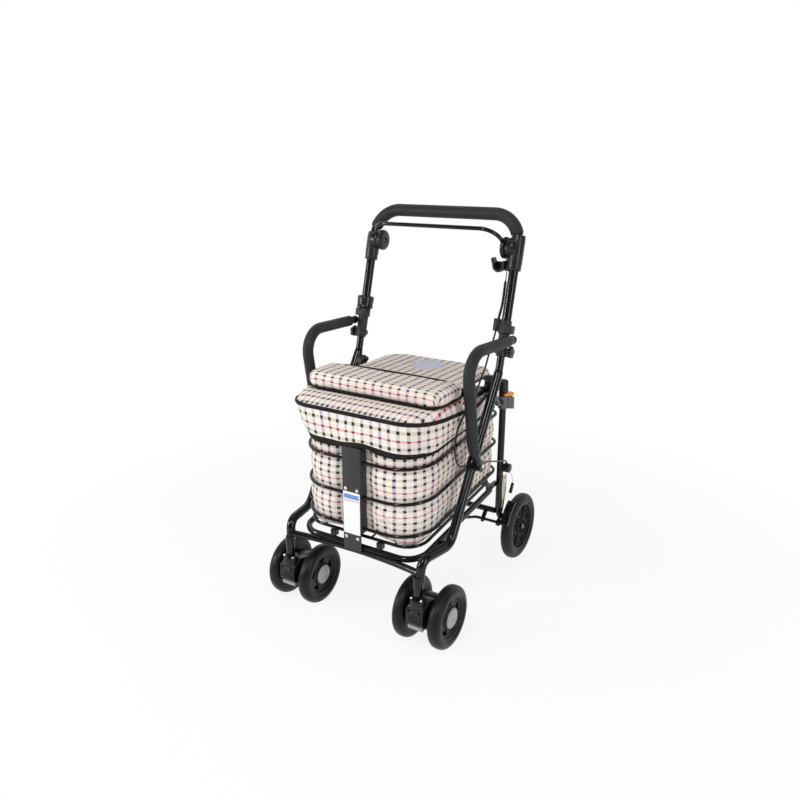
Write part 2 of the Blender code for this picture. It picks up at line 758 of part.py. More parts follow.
def cushion(name, outline, thickness, material):
    """A stuffed pad: a crowned top, sides drawn in at the seam and a soft edge all round. The
    outline gives half widths at the front and rear, front and rear Y, and the corner radii."""
    half_front, half_rear, front_y, rear_y, radius_front, radius_rear = outline
    bottom = BOARD_BOTTOM + BOARD_THICKNESS + GAP
    soft = min(1.0, thickness / 0.025)
    levels = [(0.0, 0.006), (0.14, 0.0012), (0.38, 0.0), (0.52, 0.0012), (0.66, 0.0),
              (0.86, 0.003), (0.96, 0.010)]
    work = bmesh.new()
    rings = []
    for height, inset in levels:
        inset *= soft
        loop = ring_path(half_front - inset, half_rear - inset, front_y + inset, rear_y - inset,
                         bottom + height * thickness, radius_front, radius_rear, slope=0.0)
        rings.append([work.verts.new(p) for p in loop])
    for lower, upper in zip(rings, rings[1:]):
        for i in range(len(lower)):
            j = (i + 1) % len(lower)
            work.faces.new((lower[i], lower[j], upper[j], upper[i]))
    work.faces.new(rings[0][::-1])
    centre = Vector((0, (front_y + rear_y) / 2, bottom + thickness * CROWN_TOP))
    inner = []
    for vert in rings[-1]:
        place = vert.co.lerp(centre, 0.30)
        place.z = bottom + thickness * CROWN_SHOULDER
        inner.append(work.verts.new(place))
    for i in range(len(inner)):
        j = (i + 1) % len(inner)
        work.faces.new((rings[-1][i], rings[-1][j], inner[j], inner[i]))
    top = work.verts.new(centre)
    for i in range(len(inner)):
        work.faces.new((inner[i], inner[(i + 1) % len(inner)], top))
    return mesh_object(name, work, material, 60)


def board(name, outline):
    """The stiff board under a pad, inset from the pad's outline except at the seam."""
    half_front, half_rear, front_y, rear_y, radius_front, radius_rear = outline
    front = front_y + (BOARD_INSET if radius_front > radius_rear else 0.0)
    rear = rear_y - (BOARD_INSET if radius_rear > radius_front else 0.0)
    flat = ring_path(half_front - BOARD_INSET, half_rear - BOARD_INSET, front, rear, 0.0,
                     min(radius_front, 0.030), min(radius_rear, 0.030), slope=0.0)
    return panel(name, [(p.x, p.y) for p in flat], BOARD_BOTTOM, BOARD_THICKNESS, SEAT_BOARD)


def seat_pieces():
    """The front pad stays on the rails; the lid behind it is hinged to its rear edge."""
    front = (SEAT_HALF_WIDTH, SEAT_HALF_WIDTH, SEAT_FRONT_Y, SEAM_Y - FIT, 0.026, 0.008)
    rear = (LID_HALF_WIDTH, LID_HALF_WIDTH - 0.003, SEAM_Y + FIT, LID_REAR_Y, 0.008, 0.050)
    board("seat_board", front)
    cushion("seat_cushion", front, CUSHION_THICKNESS, CHECK_CLOTH)
    pivot("lid_hinge", (0, SEAM_Y, LID_AXIS_Z), board("lid_board", rear),
          cushion("lid_cushion", rear, LID_PAD_THICKNESS, CHECK_CLOTH))


# Bag

def bag_sections():
    """The bag's outer outline at each height: half width, rear half width, front, rear, height at
    the front, slope and front corner radius. It swells a little between the rings, then its top
    band widens upwards to the piping, from where the top panel runs in under the seat."""
    width = RING_HALF_WIDTH - RING_RADIUS - 0.0012
    rear_width = RING_REAR_HALF_WIDTH - RING_RADIUS - 0.0012
    front = RING_FRONT_Y + RING_RADIUS + 0.0012
    rear = RING_REAR_Y - RING_RADIUS - 0.0012
    low, mid, high = RING_HEIGHTS.values()

    def body(inset, z):
        return (width - inset, rear_width - inset, front + inset, rear - inset, z, RING_SLOPE, 0.052)

    top = PIPING_Z
    fall = PIPING_SLOPE
    return [
        body(0.026, BAG_BOTTOM),
        body(0.014, BAG_BOTTOM + 0.004),
        body(0.003, low),
        body(-BAG_SWELL, (low + mid) / 2),
        body(0.0, mid),
        body(-BAG_SWELL, (mid + high) / 2),
        body(0.0, high),
        (width, rear_width - 0.001, front, rear - 0.001, 0.446, 0.050, 0.053),
        (width + 0.007, rear_width - 0.001, front - 0.007, rear - 0.001, 0.460, 0.030, 0.055),
        (width + 0.017, rear_width, front - 0.015, rear - 0.003, 0.492, 0.000, 0.058),
        (width + 0.023, rear_width, front - 0.0185, rear - 0.006, top - 0.014, fall / 2, 0.060),
        (width + 0.0235, rear_width - 0.001, front - 0.0185, rear - 0.009, top, fall, 0.060),
        (width + 0.012, rear_width - 0.008, front - 0.008, rear - 0.016, top + 0.002, fall, 0.058),
        (width - 0.020, rear_width - 0.028, front + 0.026, rear - 0.034,
         top + 0.002 + fall * 0.034, fall, 0.050),
        (0.138, 0.122, front + 0.062, rear - 0.050, top + 0.0005 + fall * 0.070, fall, 0.030),
    ]


def loft(work, sections):
    rings = []
    for half_front, half_rear, front, rear, z, slope, corner in sections:
        loop = ring_path(half_front, half_rear, front, rear, z, corner, corner * 0.7, slope=slope)
        rings.append([work.verts.new(p) for p in loop])
    for lower, upper in zip(rings, rings[1:]):
        for i in range(len(lower)):
            j = (i + 1) % len(lower)
            work.faces.new((lower[i], lower[j], upper[j], upper[i]))
    return rings


def bag_body():
    """A cloth bag with an open mouth under the lid: outer and inner skins joined at the mouth."""
    sections = bag_sections()
    wall = BAG_WALL
    inner = [(a - wall, b - wall, f + wall, r - wall, z, slope, corner)
             for a, b, f, r, z, slope, corner in sections]
    first = inner[1]
    inner[1] = (*first[:4], first[4] + wall, *first[5:])
    kept = [inner[i] for i in (1, 2, 6, 7, 8, 9, 10, 12)]
    lifted = [(*s[:4], s[4] - (wall if s[4] > 0.53 else 0.0), *s[5:]) for s in kept]
    mouth = sections[-1]
    lifted.append((*mouth[:4], mouth[4] - wall, *mouth[5:]))
    work = bmesh.new()
    outer_rings = loft(work, sections)
    inner_rings = loft(work, lifted)
    work.faces.new(outer_rings[0][::-1])
    work.faces.new(inner_rings[0])
    for i in range(len(outer_rings[-1])):
        j = (i + 1) % len(outer_rings[-1])
        work.faces.new((outer_rings[-1][i], outer_rings[-1][j], inner_rings[-1][j],
                        inner_rings[-1][i]))
    made = mesh_object("bag_body", work, CHECK_CLOTH, 60)
    room = PLATE_FACE_Y + PLATE_WALL + FLANGE_DEPTH + 0.0008
    groove = box("bag_plate_groove", (PLATE_WIDTH + 0.002, 0.060, PLATE_TOP - 0.20),
                 (0, room - 0.030, (PLATE_TOP + 0.004 + 0.204) / 2), None)
    return cut(made, groove)


# Arms

def arm_path(side):
    """Forward from the sleeve, round the front bend and down to the clamp on the slanted tube."""
    return filleted([
        (side * (ARM_X + 0.0058), ARM_REAR_Y, ARM_Z),
        (side * ARM_X, ARM_FRONT_Y, ARM_Z + 0.008),
        (side * ARM_X, -0.131, 0.452),
        (side * ARM_X, slant_y(ARM_CLAMP_Z) - 0.004, ARM_CLAMP_Z),
    ], [0.052, 0.080], steps=4)


def arm(side):
    """The arm's tube, its rounded rear end, the rivet to the sleeve and the clamp at its foot."""
    name = side_name("arm", side)
    path = arm_path(side)
    bar = tube(name + "_bar", path, ARM_RADIUS, BLACK_PAINT, 2)
    end = path[0]
    cap = turned("arm_cap", [(0, 0.0110), (0.0060, 0.0092), (0.0106, 0.0030), (0.0106, -0.0040),
                             (0, -0.0040)], end, LENGTHWISE, BLACK_PAINT, steps=12)
    rivet = cylinder("arm_rivet", 0.0055, (end.x, ARM_RIVET_Y, end.z),
                     (side * (HANDLE_X + SLEEVE_RADIUS + GAP), ARM_RIVET_Y, end.z), BLACK_PAINT,
                     segments=10)
    centre = Vector((side * FRAME_X, slant_y(ARM_CLAMP_Z), ARM_CLAMP_Z))
    reach = SLANT_DIRECTION * 0.015
    clamp = cylinder("arm_clamp", FRAME_RADIUS + 0.0036, centre - reach, centre + reach,
                     BLACK_PAINT, segments=12)
    cheek = box("arm_cheek", (0.020, 0.022, 0.026), (side * 0.2215, centre.y - 0.002, centre.z),
                BLACK_PAINT, turn=Matrix.Rotation(-math.atan2(SLANT_DIRECTION.y, SLANT_DIRECTION.z),
                                                  3, "X"))
    made = fused(name, BLACK_PAINT, bar, cap, rivet, clamp, cheek)
    return cut(made, frame_bore("arm_clamp_bore", side))


def arm_grip(side):
    """The foam on the arm, from before its rivet to above the clamp."""
    path = arm_path(side)
    name = side_name("arm_grip", side)
    made = tube(name, stretch(path, ARM_BARE_REAR, ARM_BARE_END), ARM_PAD_RADIUS, DARK_FOAM, 2)
    return cut(made, tube(name + "_bore", path, ARM_RADIUS + GAP, None, 2))


# Handle

def on_upright(side, z):
    return Vector((side * HANDLE_X, upright_y(z), z))


def sleeve(side):
    """The fixed guide of the post, with its collar, the bolt's boss and a lug for the arm. The
    right one ends in a small lip, where the left one carries a rubber ring."""
    name = side_name("sleeve", side)
    low = on_upright(side, SLEEVE_BOTTOM)
    top = on_upright(side, SLEEVE_TOP)
    crown = on_upright(side, COLLAR_TOP)
    body = cylinder("sleeve_body", SLEEVE_RADIUS, low, crown, GREY_PLASTIC, segments=12)
    collar = cylinder("sleeve_collar", 0.0165, top, crown, GREY_PLASTIC, segments=12)
    knob_seat = on_upright(side, KNOB_Z)
    boss = cylinder("sleeve_boss", 0.0070, knob_seat - ACROSS * side * 0.0165,
                    knob_seat + ACROSS * side * 0.0165, GREY_PLASTIC, segments=10)
    lug_z = (SLEEVE_TOP + COLLAR_TOP) / 2
    lug = box("sleeve_lug", (0.018, 0.024, COLLAR_TOP - SLEEVE_TOP - 0.001),
              on_upright(side, lug_z) + ACROSS * side * 0.0120, GREY_PLASTIC,
              turn=along(UPRIGHT_DIRECTION).to_3x3())
    pieces = [body, collar, boss, lug]
    if side > 0:
        pieces.append(cylinder("sleeve_lip", 0.0140, top, on_upright(side, LIP_TOP), GREY_PLASTIC,
                               segments=12))
    made = fused(name, GREY_PLASTIC, *pieces)
    return cut(made,
               cylinder(name + "_bore", POST_RADIUS + GAP, low - UPRIGHT_DIRECTION * 0.02,
                        crown + UPRIGHT_DIRECTION * 0.03, None, segments=16),
               cylinder(name + "_bolt_hole", 0.0036, knob_seat,
                        knob_seat + ACROSS * side * 0.05, None, segments=8))


def lock_ring():
    """The rubber ring that grips the left post above the collar."""
    low = COLLAR_TOP + GAP
    height = (LOCK_RING_TOP - low) / UPRIGHT_DIRECTION.z
    bore = POST_RADIUS + GAP
    profile = [(bore, height), (0.0175, height), (0.0203, height * 0.85), (0.0190, height * 0.22),
               (0.0202, height * 0.08), (bore, 0)]
    return turned("lock_ring", profile, on_upright(-1, low), UPRIGHT_DIRECTION, BLACK_PLASTIC)


def cable_clip():
    """The clip on the inner side of the right collar, which holds the brake cable."""
    spot = on_upright(1, CLIP_Z)
    block = box("cable_clip", (0.0150, 0.020, 0.030), spot - ACROSS * 0.0215, BLACK_PLASTIC,
                turn=along(UPRIGHT_DIRECTION).to_3x3())
    return cut(block, cylinder("clip_collar_bore", 0.0165 + GAP, on_upright(1, 0.66),
                               on_upright(1, 0.73), None, segments=12),
               tube("clip_cable_bore", smooth_path(CABLE_ROUTE, CABLE_POINTS),
                    CABLE_RADIUS + GAP, None, 2))


def height_knob(side):
    """A lobed hand knob with its bolt, which presses on the post through the sleeve."""
    name = side_name("height_knob", side)
    axis = on_upright(side, KNOB_Z)
    outline = []
    for i in range(KNOB_LOBES * 4):
        angle = 2 * math.pi * i / (KNOB_LOBES * 4)
        radius = 0.0138 + 0.0012 * math.cos(KNOB_LOBES * angle)
        outline.append((radius * math.cos(angle), radius * math.sin(angle)))
    centre = Vector((side * KNOB_X, axis.y, axis.z))
    grip = flat_piece("knob_grip", outline, 0.0095, Matrix.Translation(centre) @ along(ACROSS),
                      BLACK_PLASTIC)
    bolt = cylinder("knob_bolt", 0.0033, axis + ACROSS * side * (POST_RADIUS + GAP), centre,
                    BLACK_PLASTIC, segments=10)
    made = fused(name, BLACK_PLASTIC, grip, bolt)
    pivot(name + "_axis", axis, made)
    return made


def handle_path():
    return filleted([on_upright(-1, POST_BOTTOM), on_upright(-1, HANDLE_TOP),
                     on_upright(1, HANDLE_TOP), on_upright(1, POST_BOTTOM)],
                    [HANDLE_BEND, HANDLE_BEND], steps=4)


def brake_housing(side):
    """A moulded drum on the inner side of the post, with its shell round the tube, a cable neck
    below it and the pin that the bar's disc turns on. The right one carries the bag hook."""
    name = side_name("brake_housing", side)
    centre = on_upright(side, DRUM_Z)
    inward = -ACROSS * side
    shell = cylinder("housing_shell", 0.0165, on_upright(side, 0.820), on_upright(side, 0.889),
                     BLACK_PLASTIC, segments=12)
    drum = turned("housing_drum", [(0, DRUM_INNER), (0.0215, DRUM_INNER), (DRUM_RADIUS, 0.0200),
                                   (DRUM_RADIUS, 0.0020), (0.0205, -0.0040), (0, -0.0040)],
                  centre, inward, BLACK_PLASTIC, steps=14)
    pin = cylinder("housing_pin", 0.0060, centre + inward * 0.010, centre + inward * 0.0335,
                   BLACK_PLASTIC, segments=12)
    lobe_low = on_upright(side, 0.818) + inward * 0.0160
    lobe = cylinder("housing_lobe", 0.0074, lobe_low, lobe_low + UPRIGHT_DIRECTION * 0.034,
                    BLACK_PLASTIC, segments=10)
    pieces = [shell, drum, pin, lobe]
    if side > 0:
        pieces.append(bag_hook(lobe_low))
    made = fused(name, BLACK_PLASTIC, *pieces)
    return cut(made, tube(name + "_bore", handle_path(), POST_RADIUS + GAP, None))


def bag_hook(root):
    """An upturned hook on the housing's inner side, its tip flared: an outline, extruded."""
    outer = HOOK_RADIUS
    inner = HOOK_RADIUS - 0.0040
    bowl = [(outer * math.cos(a), -outer * math.sin(a)) for a in np.linspace(0, math.pi, 7)]
    hollow = [(inner * math.cos(a), -inner * math.sin(a)) for a in np.linspace(math.pi, 0, 7)]
    outline = [(outer, 0.0115), *bowl, (-outer - 0.0045, 0.0165), (-outer - 0.0005, 0.0185), *hollow,
               (inner, 0.0115)]
    turn = Matrix.Rotation(math.radians(90), 4, "X")
    place = Matrix.Translation(root + Vector((-outer - 0.0050, 0, 0.0125))) @ turn
    return flat_piece("hook_blade", outline, 0.013, place, BLACK_PLASTIC)


def brake_bar():
    """The squeeze bar: a bent rod whose ends run into the discs that turn on the housings."""
    hub = [on_upright(side, DRUM_Z) - ACROSS * side * BAR_HUB for side in (-1, 1)]
    start = BAR_REACH.normalized() * 0.018
    path = filleted([hub[0] + start, hub[0] + BAR_REACH, hub[1] + BAR_REACH, hub[1] + start],
                    [0.043, 0.043], steps=4)
    pieces = [tube("bar_rod", path, 0.0042, BLACK_PAINT, 2)]
    for side, centre in zip((-1, 1), hub):
        pieces.append(turned("bar_disc", [(0, 0.0070), (0.0150, 0.0070), (0.0245, 0.0042),
                                          (0.0262, 0.0), (0.0250, -0.0056), (0, -0.0056)],
                             centre, -ACROSS * side, BLACK_PLASTIC, steps=14))
    made = fused("brake_bar", BLACK_PAINT, *pieces)
    for side, centre in zip((-1, 1), hub):
        cut(made, cylinder(side_name("bar_disc_bore", side), 0.0064,
                           centre + ACROSS * side * 0.010, centre - ACROSS * side * 0.0040, None))
    pivot("brake_bar_axis", (0, upright_y(DRUM_Z), DRUM_Z), made)
    return made


def handle_pieces():
    post = hollow_tube("handle_tube", handle_path(), POST_RADIUS, POST_WALL, BLACK_PAINT)
    bare = (GRIP_END - POST_BOTTOM) / UPRIGHT_DIRECTION.z
    grip = tube("handle_grip", stretch(handle_path(), bare, bare), GRIP_RADIUS, DARK_FOAM)
    cut(grip, tube("handle_grip_bore", handle_path(), POST_RADIUS + GAP, None))
    housings = [brake_housing(side) for side in (-1, 1)]
    pivot("handle_slide", on_upright(1, SLEEVE_TOP), post, grip, *housings)


# Brake

def polar(radius, degrees):
    """A point at a radius and an angle from +Y towards +Z, about the rear axle."""
    angle = math.radians(degrees)
    return (REAR_AXLE_Y + radius * math.cos(angle), REAR_RADIUS + radius * math.sin(angle))


def side_plate_place(x):
    """Takes an outline of (Y, Z) points to the plane across the wheels' axles at x."""
    return Matrix(((0, 0, 1, x), (1, 0, 0, 0), (0, 1, 0, 0), (0, 0, 0, 1)))


def brake_yoke():
    """The brake shaft: bowed in the middle, with a curved shoe over each tyre and, on the right,
    the zinc-plated pull arm beside the leg."""
    end = REAR_WHEEL_X + 0.010
    path = filleted([(-end, BRAKE_AXIS_Y, BRAKE_AXIS_Z), (-0.105, BRAKE_AXIS_Y, BRAKE_AXIS_Z),
                     (-0.050, BRAKE_AXIS_Y, 0.117), (0.050, BRAKE_AXIS_Y, 0.117),
                     (0.105, BRAKE_AXIS_Y, BRAKE_AXIS_Z), (end, BRAKE_AXIS_Y, BRAKE_AXIS_Z)],
                    [0.03, 0.05, 0.05, 0.03], steps=2)
    pieces = [tube("yoke_rod", path, 0.004, ZINC, 2)]
    inner = REAR_RADIUS + SHOE_GAP
    angles = np.linspace(118, 158, 7)
    outline = [polar(inner, a) for a in angles] + [polar(inner + 0.009, a) for a in angles[::-1]]
    for side in (-1, 1):
        pieces.append(flat_piece("shoe", outline, 0.022, side_plate_place(side * REAR_WHEEL_X),
                                 ZINC))
    spine = [(BRAKE_AXIS_Y, BRAKE_AXIS_Z), (0.160, 0.170), (0.172, 0.205), (0.175, 0.235),
             (0.171, 0.262)]
    left = [(y - 0.006, z) for y, z in spine]
    right = [(y + 0.006, z) for y, z in spine[::-1]]
    pieces.append(flat_piece("pull_arm", left + right, 0.0022, side_plate_place(0.1712), ZINC))
    made = fused("brake_yoke", ZINC, *pieces)
    pivot("brake_yoke_axis", (0, BRAKE_AXIS_Y, BRAKE_AXIS_Z), made)
    return made


def cable_block():
    """The round guide on the right leg, with the bare wire and its rubber boot below it."""
    side = LEG_X + LEG_RADIUS + GAP
    drum = turned("block_drum", [(0, 0.018), (0.0105, 0.018), (0.0125, 0.016), (0.0125, 0.0),
                                 (0, 0.0)], (side, BLOCK_Y, BLOCK_Z), ACROSS, BLACK_PLASTIC)
    x = side + 0.010
    wire_path = [Vector((x, BLOCK_Y + 0.010, BLOCK_Z - 0.005)), Vector((x, 0.190, 0.262)),
                 Vector((x, 0.201, 0.243)), Vector((x, 0.205, 0.226))]
    wire = tube("block_wire", wire_path, 0.0013, BLACK_PLASTIC, 2)
    boot = cylinder("block_boot", 0.0034, (x, 0.205, 0.228), (x, 0.190, 0.203), BLACK_PLASTIC,
                    segments=12, end_radius=0.0048)
    return fused("cable_block", BLACK_PLASTIC, drum, wire, boot)


def smooth_path(points, count):
    """Evenly read points on a centripetal curve through hand-chosen ones."""
    knots = [np.array(p) for p in points]
    knots = [2 * knots[0] - knots[1], *knots, 2 * knots[-1] - knots[-2]]
    fine = []
    for p0, p1, p2, p3 in zip(knots, knots[1:], knots[2:], knots[3:]):
        for share in np.linspace(0, 1, 24, endpoint=False):
            fine.append(0.5 * (2 * p1 + (p2 - p0) * share
                               + (2 * p0 - 5 * p1 + 4 * p2 - p3) * share ** 2
                               + (3 * p1 - p0 - 3 * p2 + p3) * share ** 3))
    fine.append(knots[-2])
    fine = np.array(fine)
    run = np.concatenate([[0], np.cumsum(np.linalg.norm(np.diff(fine, axis=0), axis=1))])
    wanted = np.linspace(0, run[-1], count)
    return [Vector([np.interp(w, run, fine[:, axis]) for axis in range(3)]) for w in wanted]


def brake_cable():
    return tube("brake_cable", smooth_path(CABLE_ROUTE, CABLE_POINTS), CABLE_RADIUS,
                BLACK_PLASTIC, 2)


# Catch on the right leg

def leg_collar(name, low, high, radius, material):
    """A ring clasped round the right leg between two heights."""
    bore = LEG_RADIUS + GAP
    lean = (LEG_Y - LEG_BEND_Y) / (LEG_TOP - LEG_BEND_Z)
    y = LEG_Y - lean * (LEG_TOP - low)
    height = high - low
    return turned(name, [(bore, height), (radius, height), (radius, 0), (bore, 0)],
                  (LEG_X, y, low), Vector((0, lean, 1)), material)


def catch_place(low, high, reach):
    outward = Vector((math.cos(CATCH_TURN), math.sin(CATCH_TURN), 0))
    middle = Vector((LEG_X, LEG_Y - 0.0005, (low + high) / 2)) + outward * reach
    return Matrix.Translation(middle) @ Matrix.Rotation(CATCH_TURN, 4, "Z")


def stick_catch():
    """A grey clip whose jaw opens outwards in a V."""
    low, high = CATCH_BOTTOM, CATCH_TOP
    collar = leg_collar("catch_collar", low, high, CATCH_RADIUS, GREY_PLASTIC)
    outline = [(-0.006, -0.0075), (0.0075, -0.0105), (0.0090, -0.0080), (0.0025, 0.0),
               (0.0090, 0.0080), (0.0075, 0.0105), (-0.006, 0.0075)]
    jaw = flat_piece("catch_jaw", outline, high - low - 0.004, catch_place(low, high, 0.0160),
                     GREY_PLASTIC)
    return fused("stick_catch", GREY_PLASTIC, collar, jaw)


def latch_lever():
    """The orange tab that turns on the leg above the clip."""
    low, high = LEVER_BOTTOM, LEVER_TOP
    collar = leg_collar("lever_collar", low, high, 0.0120, ORANGE_PLASTIC)
    outline = [(-0.0042, -0.0055), (0.0095, -0.0050), (0.0120, -0.0025), (0.0120, 0.0025),
               (0.0095, 0.0050), (-0.0042, 0.0055)]
    tab = flat_piece("lever_tab", outline, 0.0064, catch_place(low, high, 0.0150), ORANGE_PLASTIC)
    made = fused("latch_lever", ORANGE_PLASTIC, collar, tab)
    pivot("latch_axis", (LEG_X, LEG_Y - 0.0002, low), made)
    return made


# Wheels

def spoke_cutters(name, centre, count, inner, outer, spread, depth):
    """Rounded-off wedges between spokes, to cut through a hub's web."""
    made = []
    for k in range(count):
        middle = 2 * math.pi * (k + 0.5) / count
        outline = []
        for radius, half in ((inner, spread * 0.62), (outer, spread)):
            steps = (-1, 0, 1) if radius == outer else (1, -1)
            for share in steps:
                angle = middle + half * share
                outline.append((radius * math.cos(angle), radius * math.sin(angle)))
        made.append(flat_piece(f"{name}_opening_{k + 1}", outline, depth,
                               side_plate_place(centre[0]) @ Matrix.Translation(
                                   (centre[1], centre[2], 0)), None))
    return made


def castor_hub(name, centre, outward):
    """A disc wheel: rim, thin web with five openings, boss, and a domed cap over the axle."""
    rim = CASTOR_RIM_RADIUS
    profile = [(0, 0.0150), (0.0210, 0.0135), (0.0245, 0.0055), (0.0455, 0.0055),
               (0.0480, 0.0130), (rim, 0.0130), (rim, -0.0130), (0.0455, -0.0130),
               (0.0455, 0.0010), (0.0150, 0.0010), (0.0150, -0.0140), (0.0055, -0.0140),
               (0.0055, 0.0120), (0, 0.0120)]
    hub = turned(name, profile, centre, outward, HUB_PLASTIC, steps=CASTOR_STEPS,
                 phase=math.pi / CASTOR_STEPS)
    return cut(hub, *spoke_cutters(name, centre, 5, 0.0290, 0.0425, math.radians(20), 0.05))


def tyre(name, centre, rim, radius, width, material, steps):
    """A tyre with a rounded tread and shoulders. It stands on the flat of a facet, at its radius."""
    half = width / 2
    radius /= math.cos(math.pi / steps)
    depth = radius - rim - GAP
    outer_half = [(radius, half * 0.25), (radius - depth * 0.15, half * 0.72),
                  (rim + depth * 0.45, half), (rim + GAP, half * 0.80)]
    profile = outer_half[::-1] + [(r, -h) for r, h in outer_half]
    return turned(name, profile, centre, ACROSS, material, steps=steps, phase=math.pi / steps)


def castor(side):
    """A swivelling twin-wheel castor that trails behind its stem."""
    x = side * STEM_X
    stem = Vector((x, STEM_Y, 0))
    axle = stem + Vector((0, CASTOR_TRAIL, CASTOR_RADIUS))
    outline = [(-0.016, 0.1368), (0.014, 0.1368), (0.030, 0.1290), (0.052, 0.1060),
               (0.074, 0.0900), (0.076, 0.0650), (0.060, 0.0480), (0.038, 0.0520),
               (0.020, 0.0760), (-0.004, 0.0860), (-0.020, 0.0900), (-0.0205, 0.1080)]
    body = flat_piece("fork_body", outline, 0.040,
                      Matrix.Translation(stem) @ side_plate_place(0), BLACK_PLASTIC)
    pieces = [body,
              cylinder("fork_pin", 0.0050, stem + UP * 0.130, stem + UP * 0.172, BLACK_PLASTIC,
                       segments=12),
              cylinder("fork_discs", 0.0365, axle - ACROSS * 0.0288, axle + ACROSS * 0.0288,
                       BLACK_PLASTIC),
              cylinder("fork_axle", 0.0050, axle - ACROSS * 0.0585, axle + ACROSS * 0.0585,
                       BLACK_PLASTIC, segments=12),
              box("fork_lip", (0.036, 0.0030, 0.0100), stem + Vector((0, -0.0215, 0.0920)),
                  BLACK_PLASTIC)]
    for offset in (-0.0135, 0.0135):
        pieces.append(cylinder("fork_rivet", 0.0032, stem + Vector((offset, -0.0150, 0.1300)),
                               stem + Vector((offset, -0.0182, 0.1303)), BLACK_PLASTIC, segments=8,
                               end_radius=0.0020))
    fork = fused(side_name("castor_fork", side), BLACK_PLASTIC, *pieces)
    cut(fork, box(side_name("pedal_room", side), (0.0290, 0.036, 0.0240),
                  stem + Vector((0, -0.0230, 0.1130)), None))
    pedal = castor_pedal(side, stem)
    wheels = []
    for place, offset in (("outer", side), ("inner", -side)):
        centre = axle + ACROSS * offset * CASTOR_SPACING / 2
        hub = castor_hub(f"castor_hub_{place}_{side_name('', side)[1:]}", centre, ACROSS * offset)
        rubber = tyre(f"castor_tyre_{place}_{side_name('', side)[1:]}", centre, CASTOR_RIM_RADIUS,
                      CASTOR_RADIUS, CASTOR_TYRE_WIDTH, TYRE_RUBBER, CASTOR_STEPS)
        wheels.append(pivot(f"castor_axle_{place}_{side_name('', side)[1:]}", centre, hub, rubber))
    swivel = pivot(side_name("castor_swivel", side), stem, fork)
    for child in (*wheels, pedal):
        child.parent = swivel
        child.matrix_parent_inverse = swivel.matrix_world.inverted()


def castor_pedal(side, stem):
    """The ridged foot pedal that locks the swivel."""
    front = -0.0113
    top = []
    for k in range(PEDAL_RIDGES):
        start = front + RIDGE_PITCH * k
        top += [(start, 0.0030), (start + RIDGE_PITCH / 2, 0.0042)]
    outline = [(front, -0.0025), (-0.0030, -0.0035), (0.0035, -0.0020), (0.0035, 0.0030),
               *reversed(top)]
    tilt = Matrix.Rotation(math.radians(-32), 4, "X")
    place = Matrix.Translation(stem + PEDAL_AXIS) @ tilt.inverted() @ side_plate_place(0)
    pedal = flat_piece(side_name("castor_pedal", side), outline, 0.0280, place, GREY_PLASTIC)
    return pivot(side_name("castor_pedal_axis", side), stem + PEDAL_AXIS, pedal)


def rear_wheel(side):
    centre = Vector((side * REAR_WHEEL_X, REAR_AXLE_Y, REAR_RADIUS))
    rim = REAR_RIM_RADIUS
    profile = [(0.0085, 0.0060), (0.0165, 0.0060), (0.0200, 0.0125), (0.0225, 0.0045),
               (0.0585, 0.0035), (0.0620, 0.0125), (rim, 0.0125),
               (rim, -0.0125), (0.0615, -0.0125), (0.0600, -0.0015), (0.0165, -0.0015),
               (0.0160, -0.0155), (0.0050, -0.0155), (0.0050, 0.0060)]
    name = side_name("rear_hub", side)
    hub = turned(name, profile, centre, ACROSS * side, HUB_PLASTIC, steps=REAR_STEPS,
                 phase=math.pi / REAR_STEPS)
    cut(hub, *spoke_cutters(name, centre, 6, 0.0293, 0.0546, math.radians(19), 0.05))
    rubber = tyre(side_name("rear_tyre", side), centre, rim, REAR_RADIUS, REAR_TYRE_WIDTH,
                  GREY_RUBBER, REAR_STEPS)
    pivot(side_name("rear_axle", side), centre, hub, rubber)


def build():
    for side in (-1, 1):
        side_frame(side)
        rear_leg(side)
        leg_cap(side)
        seat_bracket(side)
        arm(side)
        arm_grip(side)
        sleeve(side)
        height_knob(side)
        castor(side)
        rear_wheel(side)
    front_cross_tube()
    front_plate()
    label_panel()
    base_ring()
    for place in RING_HEIGHTS:
        basket_ring(place)
    basket_floor()
    basket_rear_strap()
    rear_cross_tube()
    seat_frame()
    seat_pieces()
    bag_body()
    lock_ring()
    cable_clip()
    handle_pieces()
    brake_bar()
    brake_yoke()
    cable_block()
    brake_cable()
    stick_catch()
    latch_lever()


build()
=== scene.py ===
"""Looks of a shopping rollator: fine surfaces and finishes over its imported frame.

Metres, Z up, front along -Y. Laid out as a Blender add-on: one operator for each piece or group of
like pieces, one for the stage, and a panel that lists them.
"""

import math

import bmesh
import bpy
import numpy as np
from bpy.types import Operator, Panel, PropertyGroup
from mathutils import Matrix, Vector


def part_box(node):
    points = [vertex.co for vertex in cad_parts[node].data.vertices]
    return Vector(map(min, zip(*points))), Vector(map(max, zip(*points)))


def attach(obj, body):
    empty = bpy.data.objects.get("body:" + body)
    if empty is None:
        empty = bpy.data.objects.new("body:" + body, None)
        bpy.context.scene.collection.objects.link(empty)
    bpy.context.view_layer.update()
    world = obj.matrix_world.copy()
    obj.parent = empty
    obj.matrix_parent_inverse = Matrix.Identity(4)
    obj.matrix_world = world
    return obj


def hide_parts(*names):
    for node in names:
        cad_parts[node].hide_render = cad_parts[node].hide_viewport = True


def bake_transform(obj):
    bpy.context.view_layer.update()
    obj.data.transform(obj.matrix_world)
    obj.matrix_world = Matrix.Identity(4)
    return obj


bl_info = {
    "name": "Shopping rollator",
    "version": (1, 0, 0),
    "blender": (4, 5, 0),
    "location": "3D View > Sidebar > Rollator",
    "description": "Builds the fine surfaces, cloth and finishes of a shopping rollator",
    "category": "Add Mesh",
}

